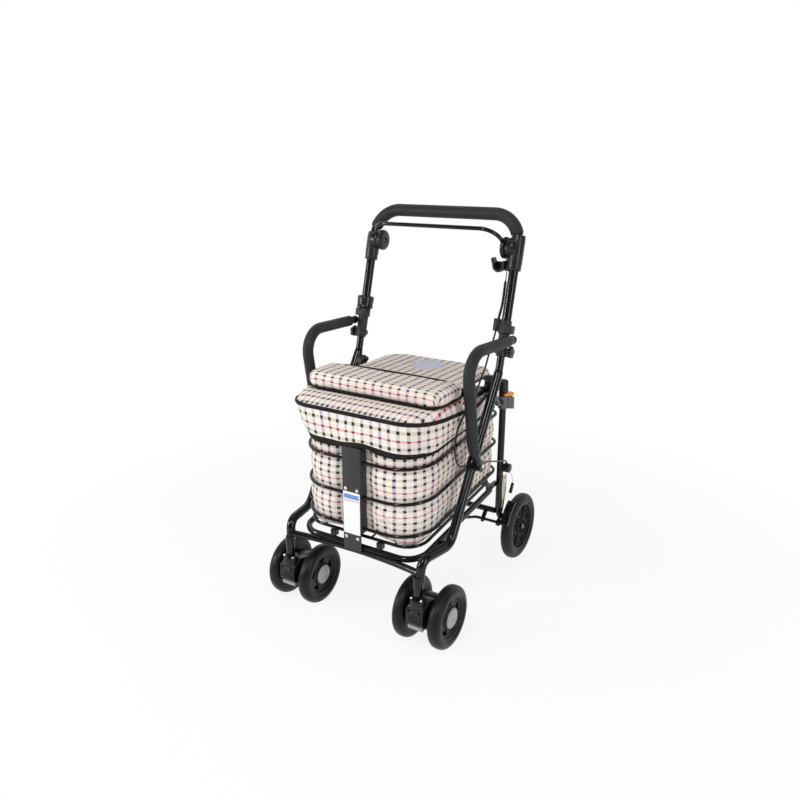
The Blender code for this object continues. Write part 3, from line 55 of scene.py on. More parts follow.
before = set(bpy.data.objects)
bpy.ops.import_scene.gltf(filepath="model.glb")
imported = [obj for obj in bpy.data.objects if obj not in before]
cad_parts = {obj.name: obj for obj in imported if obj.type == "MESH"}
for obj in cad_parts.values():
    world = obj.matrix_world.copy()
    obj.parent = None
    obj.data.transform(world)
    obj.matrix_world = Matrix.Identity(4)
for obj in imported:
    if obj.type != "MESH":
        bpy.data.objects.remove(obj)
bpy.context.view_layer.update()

X = np.array((1.0, 0.0, 0.0))
Y = np.array((0.0, 1.0, 0.0))
Z = np.array((0.0, 0.0, 1.0))
SIDES = ((-1, "left"), (1, "right"))

# Side frames and the posts that slide over them
FRAME_X = 0.205
UPRIGHT_LEAN = 0.2658
UPRIGHT_Y = 0.0627
UPRIGHT_Z = 0.7
UPRIGHT_TOP = 0.775
KNEE_Z = 0.587
FOOT = (-0.1965, 0.227)
STEM = (0.184, -0.3025)
STEM_BOTTOM = 0.1375
STEM_TOP = 0.19
FRAME_RADIUS, UPRIGHT_RADIUS, CROSS_RADIUS = 0.0112, 0.0094, 0.008
POST_RADIUS, SLEEVE_BORE = 0.0115, 0.0118
FRONT_TUBE_Z, REAR_TUBE_Z = 0.197, 0.157
POST_BOTTOM = 0.63
HANDLE_TOP = 0.9475
HANDLE_BEND = 0.07
DRUM_Z = 0.871
BAR_HUB = 0.03
BAR_REACH = np.array((0.0, -0.0555, 0.0475))
SLEEVE_BOTTOM, SLEEVE_TOP, COLLAR_TOP = 0.622, 0.675, 0.6955
RING_TOP, LIP_TOP = 0.727, 0.705
KNOB_Z, KNOB_X = 0.634, 0.228

# Basket
RING_SLOPE = 0.085
RING_FRONT_Y, RING_REAR_Y = -0.2845, 0.14
RING_HALF, RING_REAR_HALF = 0.1735, 0.162
RINGS = {"lower": (0.258, RING_SLOPE), "middle": (0.337, RING_SLOPE), "upper": (0.4215, 0.067)}
RING_RADIUS = 0.004
BASE_FRONT_Y, BASE_REAR_Y, BASE_Z = -0.2805, 0.134, 0.2065
FLOOR_FRONT_Y, FLOOR_REAR_Y, FLOOR_Z = -0.2695, 0.124, 0.23
BAG_BOTTOM, BAG_RIM, BAG_GAP = 0.2345, 0.457, 0.0012
SKIRT_HALF = 0.1915
PIPING_Z, PIPING_SLOPE, SHOULDER_Z = 0.5365, -0.068, 0.5512
PLATE_FACE_Y, PLATE_WALL = -0.2945, 0.0022
LABEL_HALF, LABEL_BOTTOM, LABEL_TOP = 0.0232, 0.242, 0.347

# Legs, seat and arms
LEG_X, LEG_Y, LEG_TOP = 0.16, 0.1625, 0.512
LEG_BEND = (0.1595, 0.15)
LEG_RADIUS, LEG_BORE = 0.009, 0.0093
AXLE = (0.232, 0.092)
REAR_WHEEL_X = 0.189
RAIL_X, RAIL_Z, BRACKET_Z = 0.18, 0.541, 0.566
ARM_X, ARM_Z, ARM_REAR_Y, ARM_FRONT_Y, ARM_CLAMP_Z = 0.2235, 0.664, 0.05, -0.168, 0.392

# Brake and wheels
BRAKE_AXIS, PULL_ARM_X = (0.138, 0.135), 0.1712
CASTOR_RADIUS, CASTOR_TRAIL, CASTOR_SPACING = 0.075, 0.0537, 0.0932
REAR_RADIUS = 0.092
CATCH_TURN = math.radians(40)


# Curves and outlines

def unit(v):
    """Vectors divided by their lengths."""
    v = np.asarray(v, float)
    return v / np.linalg.norm(v, axis=-1, keepdims=True)


def rounded(corners, radii, steps=12, closed=False):
    """The polyline through the corners with each corner replaced by an arc tangent to both sides:
    the arc's centre lies on the bisector, its points are found by slerp between the touching radii."""
    corners = [np.asarray(c, float) for c in corners]
    count = len(corners)
    radii = list(np.broadcast_to(radii, count if closed else count - 2))
    path = [] if closed else [corners[0][None]]
    for k in range(count) if closed else range(1, count - 1):
        corner = corners[k]
        radius = max(radii[k if closed else k - 1], 1e-5)
        back, forth = unit(corners[k - 1] - corner), unit(corners[(k + 1) % count] - corner)
        half = math.acos(float(np.clip(back @ forth, -1, 1))) / 2
        reach = radius / math.tan(half)
        centre = corner + unit(back + forth) * radius / math.sin(half)
        first, last = corner + back * reach - centre, corner + forth * reach - centre
        sweep = math.pi - 2 * half
        share = np.linspace(0, 1, steps + 1)[:, None]
        path.append(centre + (first * np.sin((1 - share) * sweep) + last * np.sin(share * sweep))
                    / math.sin(sweep))
    if not closed:
        path.append(corners[-1][None])
    return np.concatenate(path)


def running(path):
    """The length along a path up to each of its points."""
    return np.concatenate([[0], np.cumsum(np.linalg.norm(np.diff(path, axis=0), axis=1))])


def read(path, wanted):
    """The points at the wanted lengths along a path."""
    run = running(path)
    return np.stack([np.interp(wanted, run, column) for column in path.T], axis=1)


def even(path, spacing, closed=False):
    """The path read again at even steps of about the spacing."""
    if closed:
        path = np.concatenate([path, path[:1]])
    length = running(path)[-1]
    count = max(int(round(length / spacing)), 2)
    return read(path, np.linspace(0, length, count + 1)[:count if closed else count + 1])


def spline(knots, steps=10):
    """A Catmull-Rom curve through the knots."""
    knots = np.asarray(knots, float)
    knots = np.concatenate([[2 * knots[0] - knots[1]], knots, [2 * knots[-1] - knots[-2]]])
    p0, p1, p2, p3 = (knots[k:len(knots) - 3 + k, None] for k in range(4))
    s = np.linspace(0, 1, steps, endpoint=False)[None, :, None]
    curve = 0.5 * (2 * p1 + (p2 - p0) * s + (2 * p0 - 5 * p1 + 4 * p2 - p3) * s ** 2 + (3 * p1 - p0 - 3
                                                                                        * p2 + p3)
                   * s ** 3)
    return np.concatenate([curve.reshape(-1, knots.shape[1]), knots[-2:-1]])


def trimmed(path, skip_start, skip_end):
    """The path less a length at each end."""
    run = running(path)
    inside = (run > skip_start) & (run < run[-1] - skip_end)
    return read(path, np.concatenate([[skip_start], run[inside], [run[-1] - skip_end]]))


def ease(share):
    """A smooth step from nought to one: 3 s squared less 2 s cubed."""
    share = np.clip(share, 0, 1)
    return share ** 2 * (3 - 2 * share)


def outward(grid):
    """Level directions square to the rows of a grid of closed loops."""
    return unit(np.cross(np.roll(grid, -1, axis=-2) - np.roll(grid, 1, axis=-2), Z))


def ring(half_front, half_rear, front, rear, z, corner_front, corner_rear, slope=RING_SLOPE,
         steps=14):
    """A rounded ring in a plane that climbs towards the rear by the slope."""
    flat = outline_of([(-half_front, front), (half_front, front), (half_rear, rear), (-half_rear, rear)],
                      [corner_front, corner_front, corner_rear, corner_rear], steps)
    return np.column_stack([flat, z + slope * (flat[:, 1] - front)])


def outline_of(corners, radii, steps=6):
    """A closed outline with rounded corners."""
    return rounded(corners, radii, steps, closed=True)


def disc(radius, steps):
    """Points round a circle, or round a curve whose radius is given for each step."""
    a = np.linspace(0, math.tau, steps, endpoint=False)
    return np.column_stack([radius * np.cos(a), radius * np.sin(a)])


def bar(width, height, radius, steps=6):
    """A rectangle with rounded corners about the origin."""
    w, h = width / 2, height / 2
    return outline_of([(-w, -h), (w, -h), (w, h), (-w, h)], radius, steps)


def on_upright(side, z):
    return np.array((side * FRAME_X, UPRIGHT_Y + UPRIGHT_LEAN * (z - UPRIGHT_Z), z))


UP_LEAN = unit((0, UPRIGHT_LEAN, 1))
KNEE_Y = on_upright(1, KNEE_Z)[1]


def slant_y(z):
    return FOOT[0] + (KNEE_Y - FOOT[0]) * (z - FOOT[1]) / (KNEE_Z - FOOT[1])


def add(name, data):
    """A new object in the scene."""
    made = bpy.data.objects.new(name, data)
    bpy.context.scene.collection.objects.link(made)
    return made


def points_of(mesh):
    """The points of a mesh, one to a row."""
    points = np.empty(len(mesh.vertices) * 3, np.float32)
    mesh.vertices.foreach_get("co", points)
    return points.reshape(-1, 3)


# Surfaces

class Form:
    """Gathers surfaces into one mesh. A surface is a grid of points, rows by columns; its UV map
    measures metres along its rows and columns."""

    def __init__(self):
        self.points, self.quads, self.uvs, self.marks = [], [], [], []
        self.lids = []
        self.count = 0

    def surface(self, grid, wrap=(False, True), uv=None, mark=0, hide=None):
        """Joins the grid into quads; wrap closes it over its rows or its columns. Hide is a mask of
        quads left out. Mark is the place of its material."""
        grid = np.asarray(grid, float)
        rows, columns = grid.shape[:2]
        if uv is None:
            uv = self.lengths(grid, wrap)
        i, j = (a.ravel() for a in np.meshgrid(
            np.arange(rows - (not wrap[0])), np.arange(columns - (not wrap[1])), indexing="ij"))
        if hide is not None:
            shown = ~hide[i, j]
            i, j = i[shown], j[shown]
        corners = [(i, j), (i + 1, j), (i + 1, j + 1), (i, j + 1)]
        self.quads.append(
            np.stack([(a % rows) * columns + b % columns for a, b in corners], axis=1) + self.count)
        self.uvs.append(np.stack([uv[a, b] for a, b in corners], axis=1).reshape(-1, 2))
        self.marks.append(np.full(len(i), mark))
        self.points.append(grid.reshape(-1, 3))
        self.count += rows * columns
        return self

    @staticmethod
    def lengths(grid, wrap):
        """UV as mean running length along the columns and the rows, one more where the grid wraps."""
        around = np.concatenate([grid, grid[:, :1]], axis=1) if wrap[1] else grid
        down = np.concatenate([grid, grid[:1]], axis=0) if wrap[0] else grid
        u = np.linalg.norm(np.diff(around, axis=1), axis=2).mean(axis=0)
        v = np.linalg.norm(np.diff(down, axis=0), axis=2).mean(axis=1)
        u, v = np.concatenate([[0], np.cumsum(u)]), np.concatenate([[0], np.cumsum(v)])
        return np.stack(np.meshgrid(u, v), axis=-1)

    def lid(self, loop, flat, mark=0):
        """A face over a loop of points; flat gives its UV."""
        self.lids.append((np.arange(len(loop)) + self.count, flat, mark))
        self.points.append(np.asarray(loop, float))
        self.count += len(loop)

    def tube(self, path, radius, sides=20, closed=False, flat=(1.0, 1.0), normal=None, mark=0):
        """A bar along a path. Each section is an ellipse across the path, its first axis square to
        the given normal; without one, the normal is the direction in which the path turns least."""
        path = np.asarray(path, float)
        ahead = np.roll(path, -1, axis=0) if closed else np.concatenate([path[1:], path[-1:]])
        behind = np.roll(path, 1, axis=0) if closed else np.concatenate([path[:1], path[:-1]])
        tangent = unit(ahead - behind)
        if normal is None:
            normal = np.linalg.svd(tangent, full_matrices=True)[2][-1]
        side = unit(np.cross(normal, tangent))
        other = np.cross(tangent, side)
        radius = np.broadcast_to(radius, len(path)).astype(float)
        if not closed:
            path = np.concatenate([path[:1], path[:1], path, path[-1:], path[-1:]])
            radius = np.concatenate([[0, radius[0] * 0.96], radius, [radius[-1] * 0.96, 0]])
            side, other = (np.concatenate([a[:1], a[:1], a, a[-1:], a[-1:]]) for a in (side, other))
        a = np.linspace(0, math.tau, sides, endpoint=False)
        cross = (side[:, None] * (flat[0] * np.cos(a))[:, None]
                 + other[:, None] * (flat[1] * np.sin(a))[:, None])
        return self.surface(path[:, None] + cross * radius[:, None, None], (closed, True), mark=mark)

    def hoop(self, loop, radius, sides, spacing=0.006, flat=(1.0, 1.0)):
        """A closed bar along a loop, read at even steps, its section's first axis level."""
        return self.tube(even(loop, spacing, closed=True), radius, sides, True, flat, Z)

    def pin(self, radius, low, high, centre, axis, steps=24):
        """A plain cylinder between two heights on an axis."""
        return self.turned([(0, low), (radius, low), (radius, high), (0, high)], centre, axis, steps)

    def collar(self, bore, radius, low, high, centre, axis, steps, mark=0, edge=0.0006):
        """A pierced cylinder with bevelled outer edges."""
        return self.turned([(bore, low), (radius - edge, low), (radius, low + edge), (radius, high - edge),
                            (radius - edge, high), (bore, high)], centre, axis, steps, mark)

    def turned(self, profile, centre, axis, steps, mark=0, warp=None, hide=None):
        """A profile of (radius, height) turned about an axis. One that doesn't start on the axis is
        closed on itself. Warp gives the angle of each profile point at each step."""
        profile = np.asarray(profile, float)
        axis = unit(axis)
        first = unit(np.cross(axis, Y if abs(axis @ Y) < 0.9 else Z))
        second = np.cross(axis, first)
        a = np.linspace(0, math.tau, steps, endpoint=False)[None]
        a = np.broadcast_to(a if warp is None else warp, (len(profile), a.shape[1]))[..., None]
        grid = (np.asarray(centre, float) + axis * profile[:, None, 1:]
                + (first * np.cos(a) + second * np.sin(a)) * profile[:, None, :1])
        return self.surface(grid, (profile[0, 0] > 0, True), mark=mark, hide=hide)

    def plate(self, outline, thickness, plane, edge=0.0008, mark=0):
        """An outline extruded along the plane's normal, centred on it, its edges rounded by a
        quarter circle."""
        outline = np.asarray(outline, float)
        ahead = unit(np.roll(outline, -1, axis=0) - outline)
        behind = np.roll(ahead, 1, axis=0)
        turn = unit(ahead + behind + 1e-12)
        inward = np.column_stack([-turn[:, 1], turn[:, 0]])
        x, y = outline.T
        if (x * np.roll(y, -1) - np.roll(x, -1) * y).sum() < 0:
            inward = -inward
        inward = inward / np.clip((ahead * turn).sum(axis=1), 0.5, 1)[:, None]
        a = np.linspace(0, math.pi / 2, 4)
        inset = edge * np.concatenate([1 - np.sin(a), 1 - np.sin(a[::-1])])
        level = thickness / 2 - edge * np.concatenate([1 - np.cos(a[::-1]), 1 - np.cos(a)])
        level[:4] *= -1
        level[:4], level[4:] = np.sort(level[:4]), np.sort(level[4:])
        origin, across, along, through = plane
        loops = outline[None] + inward[None] * inset[:, None, None]
        grid = (origin + across * loops[..., :1] + along * loops[..., 1:] + through * level[:, None, None])
        self.surface(grid, (False, True), mark=mark)
        self.lid(grid[0][::-1], loops[0][::-1], mark)
        self.lid(grid[-1], loops[-1], mark)
        return self

    def block(self, size, plane, radius=0.002, edge=0.0008, mark=0):
        """A box with rounded edges."""
        return self.plate(bar(size[0], size[1], radius), size[2], plane, edge, mark)

    def piece(self, name, finishes, body, replaces=(), slot=None, sharp=40):
        """The gathered mesh as an object that rides on a body of the frame. Its finishes are one name,
        or one for each mark with a space between."""
        mesh = bpy.data.meshes.new(name)
        faces = np.concatenate(self.quads).tolist() if self.quads else []
        faces += [lid[0].tolist() for lid in self.lids]
        mesh.from_pydata(np.concatenate(self.points), [], faces)
        flats = self.uvs + [np.asarray(lid[1], float).reshape(-1, 2) for lid in self.lids]
        mesh.uv_layers.new(name="metres").data.foreach_set("uv", np.concatenate(flats).ravel())
        marks = self.marks + [np.full(1, lid[2]) for lid in self.lids]
        mesh.polygons.foreach_set("material_index", np.concatenate(marks))
        work = bmesh.new()
        work.from_mesh(mesh)
        bmesh.ops.remove_doubles(work, verts=work.verts, dist=1e-6)
        bmesh.ops.recalc_face_normals(work, faces=work.faces)
        work.to_mesh(mesh)
        work.free()
        mesh.shade_smooth()
        mesh.set_sharp_from_angle(angle=math.radians(sharp))
        for kind in finishes.split():
            mesh.materials.append(finish(kind))
        made = add(name, mesh)
        if body:
            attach(made, body)
        if replaces:
            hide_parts(*replaces)
        return made


def plane_at(origin, across, along):
    """A plane: its origin, its two axes and its normal."""
    across, along = unit(across), unit(along)
    return np.asarray(origin, float), across, along, np.cross(across, along)


def side_plane(x, y=0.0, z=0.0):
    """The plane across the wheels' axles at x: first axis Y, second Z, normal +X."""
    return plane_at((x, y, z), Y, Z)


def arc(radius, start, end, steps, centre=(0.0, 0.0)):
    """Points along an arc, its angles in degrees."""
    a = np.radians(np.linspace(start, end, steps))
    return np.column_stack([centre[0] + radius * np.cos(a), centre[1] + radius * np.sin(a)])


# Materials

STRIPE_BLUR, WANDER = 0.0007, (0.0018, 0.0014)
TAPE_RIB, MOULD_LINE, PATCH_YARN = 0.0012, 0.0016, 0.0008


class Value:
    """A socket in a node tree. Arithmetic on it adds Math nodes."""

    def __init__(self, tree, socket):
        self.tree = tree
        self.socket = socket

    def math(self, operation, *others):
        inputs = dict(enumerate((self, *others)))
        return self.tree.node("ShaderNodeMath", {"operation": operation}, inputs)

    def __add__(self, other):
        return self.math("ADD", other)

    __radd__ = __add__

    def __mul__(self, other):
        return self.math("MULTIPLY", other)

    __rmul__ = __mul__

    def __sub__(self, other):
        return self.math("SUBTRACT", other)

    def __rsub__(self, other):
        return self.tree.node("ShaderNodeMath", {"operation": "SUBTRACT"}, {0: other, 1: self})

    def __truediv__(self, other):
        return self.math("DIVIDE", other)

    def __gt__(self, other):
        return self.math("GREATER_THAN", other)

    def __lt__(self, other):
        return self.math("LESS_THAN", other)

    def wave(self):
        """Sine."""
        return self.math("SINE")

    def ramp(self, low, high, first=0.0, last=1.0):
        """A smooth step from one value to another between two inputs."""
        return self.tree.node(
            "ShaderNodeMapRange", {"interpolation_type": "SMOOTHSTEP"},
            {"Value": self, "From Min": low, "From Max": high, "To Min": first, "To Max": last})


class Nodes:
    """A node tree under construction."""

    def __init__(self, tree):
        self.nodes, self.links = tree.nodes, tree.links

    def feed(self, socket, value):
        """Links a value to a socket, or sets the socket to a plain one."""
        if isinstance(value, Value):
            self.links.new(value.socket, socket)
        else:
            socket.default_value = value

    def node(self, kind, settings=None, inputs=None, output=0):
        """Adds a node: its settings first, then the values or links of its sockets."""
        made = self.nodes.new(kind)
        for name, value in (settings or {}).items():
            setattr(made, name, value)
        for name, value in (inputs or {}).items():
            self.feed(made.inputs[name], value)
        return Value(self, made.outputs[output])

    def seen(self):
        """One for rays from the camera, a mirror or a clear piece, and nought for the rest."""
        camera, mirror, clear = (
            self.node("ShaderNodeLightPath", output=name)
            for name in ("Is Camera Ray", "Is Glossy Ray", "Is Transmission Ray"))
        return camera.math("MAXIMUM", mirror).math("MAXIMUM", clear)

    def blend(self, factor, first, second):
        """Two shaders mixed by a factor."""
        return self.node("ShaderNodeMixShader", None, {0: factor, 1: first, 2: second})


class Shade(Nodes):
    """A material under construction: a Principled BSDF and the nodes that feed it."""

    def __init__(self, name, colour, roughness, metallic=0.0, **fixed):
        self.material = bpy.data.materials.new(name)
        self.material.use_nodes = True
        self.material.diffuse_color = (*colour, 1.0)
        super().__init__(self.material.node_tree)
        self.shader = self.nodes["Principled BSDF"]
        self.set(Base_Color=(*colour, 1.0), Roughness=roughness, Metallic=metallic, **fixed)
        self.colour, self.relief = colour, None

    def set(self, **inputs):
        """Sets or links sockets of the shader; an underscore stands for a space."""
        for name, value in inputs.items():
            self.feed(self.shader.inputs[name.replace("_", " ")], value)

    def vary(self, cloud, dark, light, low, high):
        """Lets the colour and the roughness follow a noise."""
        self.set(Base_Color=self.mix(cloud, tone(self.colour, dark), tone(self.colour, light)),
                 Roughness=cloud.ramp(0.3, 0.7, low, high))

    def place(self):
        """Object coordinates."""
        return self.node("ShaderNodeTexCoord", output="Object")

    def parts(self, vector):
        """The three numbers of a vector."""
        split = self.node("ShaderNodeSeparateXYZ", None, {0: vector}).socket.node
        return [Value(self, output) for output in split.outputs]

    def uv(self):
        """The three numbers of the UV map, in metres."""
        return self.parts(self.node("ShaderNodeUVMap", {"uv_map": "metres"}))

    def noise(self, vector, scale, detail):
        return self.node("ShaderNodeTexNoise", None, {"Vector": vector, "Scale": scale, "Detail": detail})

    def cells(self, vector, scale):
        return self.node("ShaderNodeTexVoronoi", None, {"Vector": vector, "Scale": scale}, "Distance")

    def mix(self, factor, first, second):
        """Two colours mixed by a factor."""
        first, second = ((*c, 1.0) if isinstance(c, tuple) else c for c in (first, second))
        return self.node("ShaderNodeMix", {"data_type": "RGBA"}, {0: factor, 6: first, 7: second}, 2)

    def bump(self, height, distance):
        """Adds relief of a height in metres over the relief so far."""
        inputs = {"Height": height, "Distance": distance}
        if self.relief:
            inputs["Normal"] = self.relief
        self.relief = self.node("ShaderNodeBump", None, inputs)
        self.set(Normal=self.relief)


def tone(colour, factor):
    """The colour made lighter or darker."""
    return tuple(min(c * factor, 1.0) for c in colour)


def paint_finish(name, colour, roughness):
    """Powder-coated tube: a slight orange peel, finer and coarser patches of gloss."""
    shade = Shade(name, colour, roughness, Specular_IOR_Level=0.38)
    place = shade.place()
    peel = shade.noise(place, 420, 1)
    shade.vary(shade.noise(place, 9, 3), 0.75, 1.35, roughness * 0.8, roughness * 1.25)
    shade.bump(peel, 0.000015)
    return shade.material


def plastic_finish(name, colour, roughness, grain=1900, shine=0.3):
    """Moulded plastic: spark-eroded grain and a faint cloudiness."""
    shade = Shade(name, colour, roughness, Specular_IOR_Level=shine)
    place = shade.place()
    spark = shade.cells(place, grain)
    shade.vary(shade.noise(place, 22, 3), 0.8, 1.25, roughness - 0.05, roughness + 0.07)
    shade.bump(spark, 0.00006)
    return shade.material


def foam_finish(name, colour):
    """Closed-cell foam sleeve: fine open pores, sunk by a bump and painted darker as painted shade in their
    hollows, and a dry, slightly worn skin.
    """
    shade = Shade(name, colour, 0.6, Specular_IOR_Level=0.3)
    place = shade.place()
    pores = shade.cells(place, 1100)
    worn = shade.noise(place, 14, 4)
    pore_dip_and_shade = pores.ramp(0.05, 0.3)
    # The pores' darker colour is painted shade in their hollows; the worn patches are the skin's own
    # lighter tone.
    shade.set(Base_Color=shade.mix(worn.ramp(0.35, 0.75) * 0.6 + pore_dip_and_shade * 0.4,
                                   tone(colour, 0.55), tone(colour, 1.5)),
              Roughness=worn.ramp(0.3, 0.7, 0.5, 0.66))
    shade.bump(pore_dip_and_shade, 0.00008)
    shade.bump(shade.noise(place, 160, 2), 0.0003)
    return shade.material


def rubber_finish(name, colour, roughness):
    """Tyre rubber: mould lines round the wheel, a dusty bloom and fine grain."""
    shade = Shade(name, colour, roughness, Specular_IOR_Level=0.24)
    place = shade.place()
    bloom = shade.noise(place, 30, 4)
    _, across, _ = shade.uv()
    lines = (across * (math.tau / MOULD_LINE)).wave()
    shade.set(Base_Color=shade.mix(bloom.ramp(0.35, 0.8), colour, tone(colour, 1.7)),
              Roughness=bloom.ramp(0.3, 0.75, roughness - 0.06, roughness + 0.12))
    shade.bump(shade.noise(place, 900, 1), 0.00006)
    shade.bump(lines.ramp(0.75, 1.0), 0.00005)
    return shade.material


def metal_finish(name, colour, roughness):
    """Plated steel: soft directional haze and small colour shifts of the plating."""
    shade = Shade(name, colour, roughness, 1.0)
    place = shade.place()
    shade.vary(shade.noise(place, 55, 4), 0.82, 1.12, roughness * 0.75, roughness * 1.4)
    shade.bump(shade.noise(place, 700, 2), 0.00003)
    return shade.material


def stripe(along, pitch, width):
    """Soft-edged stripes of a width, one to each pitch, and the count of the stripe that is near."""
    turn = along / pitch
    count = turn.math("FLOOR")
    off = (turn - count - 0.5).math("ABSOLUTE") * pitch
    return 1 - (off - width * 0.5).ramp(-STRIPE_BLUR, STRIPE_BLUR), count


def check_finish(name, base, cloth):
    """Yarn-dyed check: columns of one violet and three lavender stripes, rows of one narrow red and
    three olive ones, near black where two cross, in a plain weave of fine yarns."""
    shade = Shade(name, base, 0.86, Specular_IOR_Level=0.15)
    u, v, _ = shade.uv()
    wander = shade.noise(shade.place(), 38, 2) - 0.5
    u, v = u + wander * WANDER[0], v + wander * WANDER[1]
    column, column_count = stripe(u, cloth.column_pitch, cloth.column_width)
    odd_column = column_count.math("FLOORED_MODULO", 4.0) < 0.5
    _, row_count = stripe(v, cloth.row_pitch, cloth.row_width)
    odd_row = row_count.math("FLOORED_MODULO", 4.0) < 0.5
    row, _ = stripe(v, cloth.row_pitch, cloth.row_width * (1 - odd_row * 0.35))
    yarn_u = (u * (math.tau / cloth.yarn)).wave()
    yarn_v = (v * (math.tau / cloth.yarn)).wave()
    float_yarn = (yarn_u * yarn_v).ramp(-0.6, 0.6)
    column_colour = shade.mix(odd_column, tuple(cloth.column), tuple(cloth.accent_column))
    row_colour = shade.mix(odd_row, tuple(cloth.row), tuple(cloth.accent_row))
    crossing = shade.mix(odd_row, tuple(cloth.crossing), tuple(cloth.accent_crossing))
    blush = shade.noise(shade.place(), 6, 3)
    ground = shade.mix(blush.ramp(0.4, 0.62), base, tuple(cloth.blush))
    dyed = shade.mix(column * (0.6 + 0.25 * float_yarn), ground, column_colour)
    dyed = shade.mix(row * (0.85 - 0.25 * float_yarn), dyed, row_colour)
    dyed = shade.mix(column * row * 0.97, dyed, crossing)
    shade.set(Base_Color=dyed, Roughness=float_yarn.ramp(0.0, 1.0, 0.8, 0.9))
    shade.bump(float_yarn, 0.0001)
    shade.bump(shade.noise(shade.place(), 60, 3), 0.0006)
    return shade.material


def tape_finish(name, colour):
    """Woven binding tape: ribs across its length and a dull bloom."""
    shade = Shade(name, colour, 0.72, Specular_IOR_Level=0.2)
    _, along, _ = shade.uv()
    rib = (along * (math.tau / TAPE_RIB)).wave()
    shade.vary(shade.noise(shade.place(), 60, 3), 0.6, 1.6, 0.62, 0.82)
    shade.bump(rib, 0.00012)
    return shade.material


def panel_finish(name, colour):
    """The plain white panel with a blue band near its top and a thin red line under it."""
    shade = Shade(name, colour, 0.32, Specular_IOR_Level=0.4)
    place = shade.place()
    x, _, z = shade.parts(place)
    inside = x.math("ABSOLUTE") < LABEL_HALF - 0.0025
    band = (z > LABEL_TOP - 0.017) * (z < LABEL_TOP - 0.0055) * inside
    line = (z > LABEL_TOP - 0.0225) * (z < LABEL_TOP - 0.0205) * inside
    scuff = shade.noise(place, 90, 4)
    ground = shade.mix(scuff.ramp(0.55, 0.9), colour, tone(colour, 0.9))
    marked = shade.mix(band, ground, (0.13, 0.27, 0.66))
    shade.set(Base_Color=shade.mix(line, marked, (0.7, 0.08, 0.1)),
              Roughness=scuff.ramp(0.3, 0.7, 0.26, 0.4))
    return shade.material


def patch_finish(name, colour):
    """A pale woven patch, a little darker in soft cloudy patches."""
    shade = Shade(name, colour, 0.8, Specular_IOR_Level=0.15)
    u, v, _ = shade.uv()
    yarn = (u * (math.tau / PATCH_YARN)).wave() * (v * (math.tau / PATCH_YARN)).wave()
    cloud = shade.noise(shade.place(), 40, 2)
    cloth = shade.mix(yarn.ramp(-0.5, 0.5), (0.56, 0.56, 0.66), (0.66, 0.66, 0.75))
    shade.set(Base_Color=shade.mix(cloud.ramp(0.35, 0.7) * 0.3, cloth, (0.52, 0.52, 0.64)))
    shade.bump(yarn, 0.00008)
    return shade.material


# Settings that a user may change

def colour_property(name, description, default):
    return bpy.props.FloatVectorProperty(
        name=name, description=description, default=default, subtype="COLOR", size=3, min=0.0, max=1.0)


def number_property(name, description, default, **more):
    return bpy.props.FloatProperty(name=name, description=description, default=default, **more)


def length_property(name, description, default):
    return number_property(name, description, default, unit="LENGTH", precision=5, min=0.0)


class RollatorPaint(PropertyGroup):
    """Colours of the hard parts."""

    tube: colour_property("Tube", "Powder coat of the tubes", (0.004, 0.004, 0.005))
    plate: colour_property("Plate", "Satin paint of the front plate", (0.026, 0.025, 0.024))
    black: colour_property("Black plastic", "Housings, knobs and castor bodies", (0.007, 0.007, 0.008))
    grey: colour_property("Grey plastic", "Sleeves and pedals", (0.022, 0.023, 0.025))
    clip: colour_property("Clip", "The clip on the leg", (0.14, 0.14, 0.15))
    hub: colour_property("Wheel plastic", "Discs of the wheels", (0.016, 0.016, 0.017))
    cap: colour_property("Cap", "Caps over the castor axles", (0.36, 0.36, 0.385))
    lip: colour_property("Lip", "Edge plate of the castor bodies", (0.33, 0.33, 0.34))
    foam: colour_property("Foam", "Grips", (0.015, 0.016, 0.017))
    tyre: colour_property("Castor tyre", "Rubber of the castors", (0.005, 0.005, 0.005))
    rear_tyre: colour_property("Rear tyre", "Rubber of the rear wheels", (0.013, 0.013, 0.013))
    orange: colour_property("Lever", "The latch lever", (0.8, 0.27, 0.015))
    zinc: colour_property("Zinc", "Yellow zinc of the brake's pull arm", (0.68, 0.6, 0.4))


class RollatorCloth(PropertyGroup):
    """The checked cloth and its bindings."""

    base: colour_property("Ground", "Ground of the cloth", (0.88, 0.81, 0.73))
    blush: colour_property("Blush", "Pinker patches of the ground", (0.86, 0.75, 0.69))
    column: colour_property("Columns", "Three of four columns", (0.5, 0.5, 0.56))
    accent_column: colour_property("Accent column", "Every fourth column", (0.44, 0.33, 0.56))
    row: colour_property("Rows", "Three of four rows", (0.61, 0.54, 0.38))
    accent_row: colour_property("Accent row", "Every fourth row", (0.79, 0.3, 0.26))
    crossing: colour_property("Crossings", "Where two stripes cross", (0.014, 0.014, 0.02))
    accent_crossing: colour_property(
        "Accent crossings", "Where an accent row crosses", (0.13, 0.016, 0.04))
    tape: colour_property("Tape", "Binding tape", (0.01, 0.009, 0.009))
    column_pitch: length_property("Column pitch", "From one column to the next", 0.023)
    column_width: length_property("Column width", "Width of a column", 0.0078)
    row_pitch: length_property("Row pitch", "From one row to the next", 0.0148)
    row_width: length_property("Row width", "Width of a row", 0.0057)
    yarn: length_property("Yarn", "Pitch of the weave", 0.0011)
    tape_height: length_property("Tape height", "Width of tape that shows", 0.0098)


class RollatorStuffing(PropertyGroup):
    """How the seat pads are stuffed."""

    voxel: length_property("Cell", "Size of the pads' first mesh", 0.0045)
    pressure: number_property("Pressure", "Pressure in the pads", 4.0)
    rise: length_property("Rise", "How far a point of a pad may move", 0.008)
    frames: bpy.props.IntProperty(name="Frames", description="Steps of the cloth", default=20)


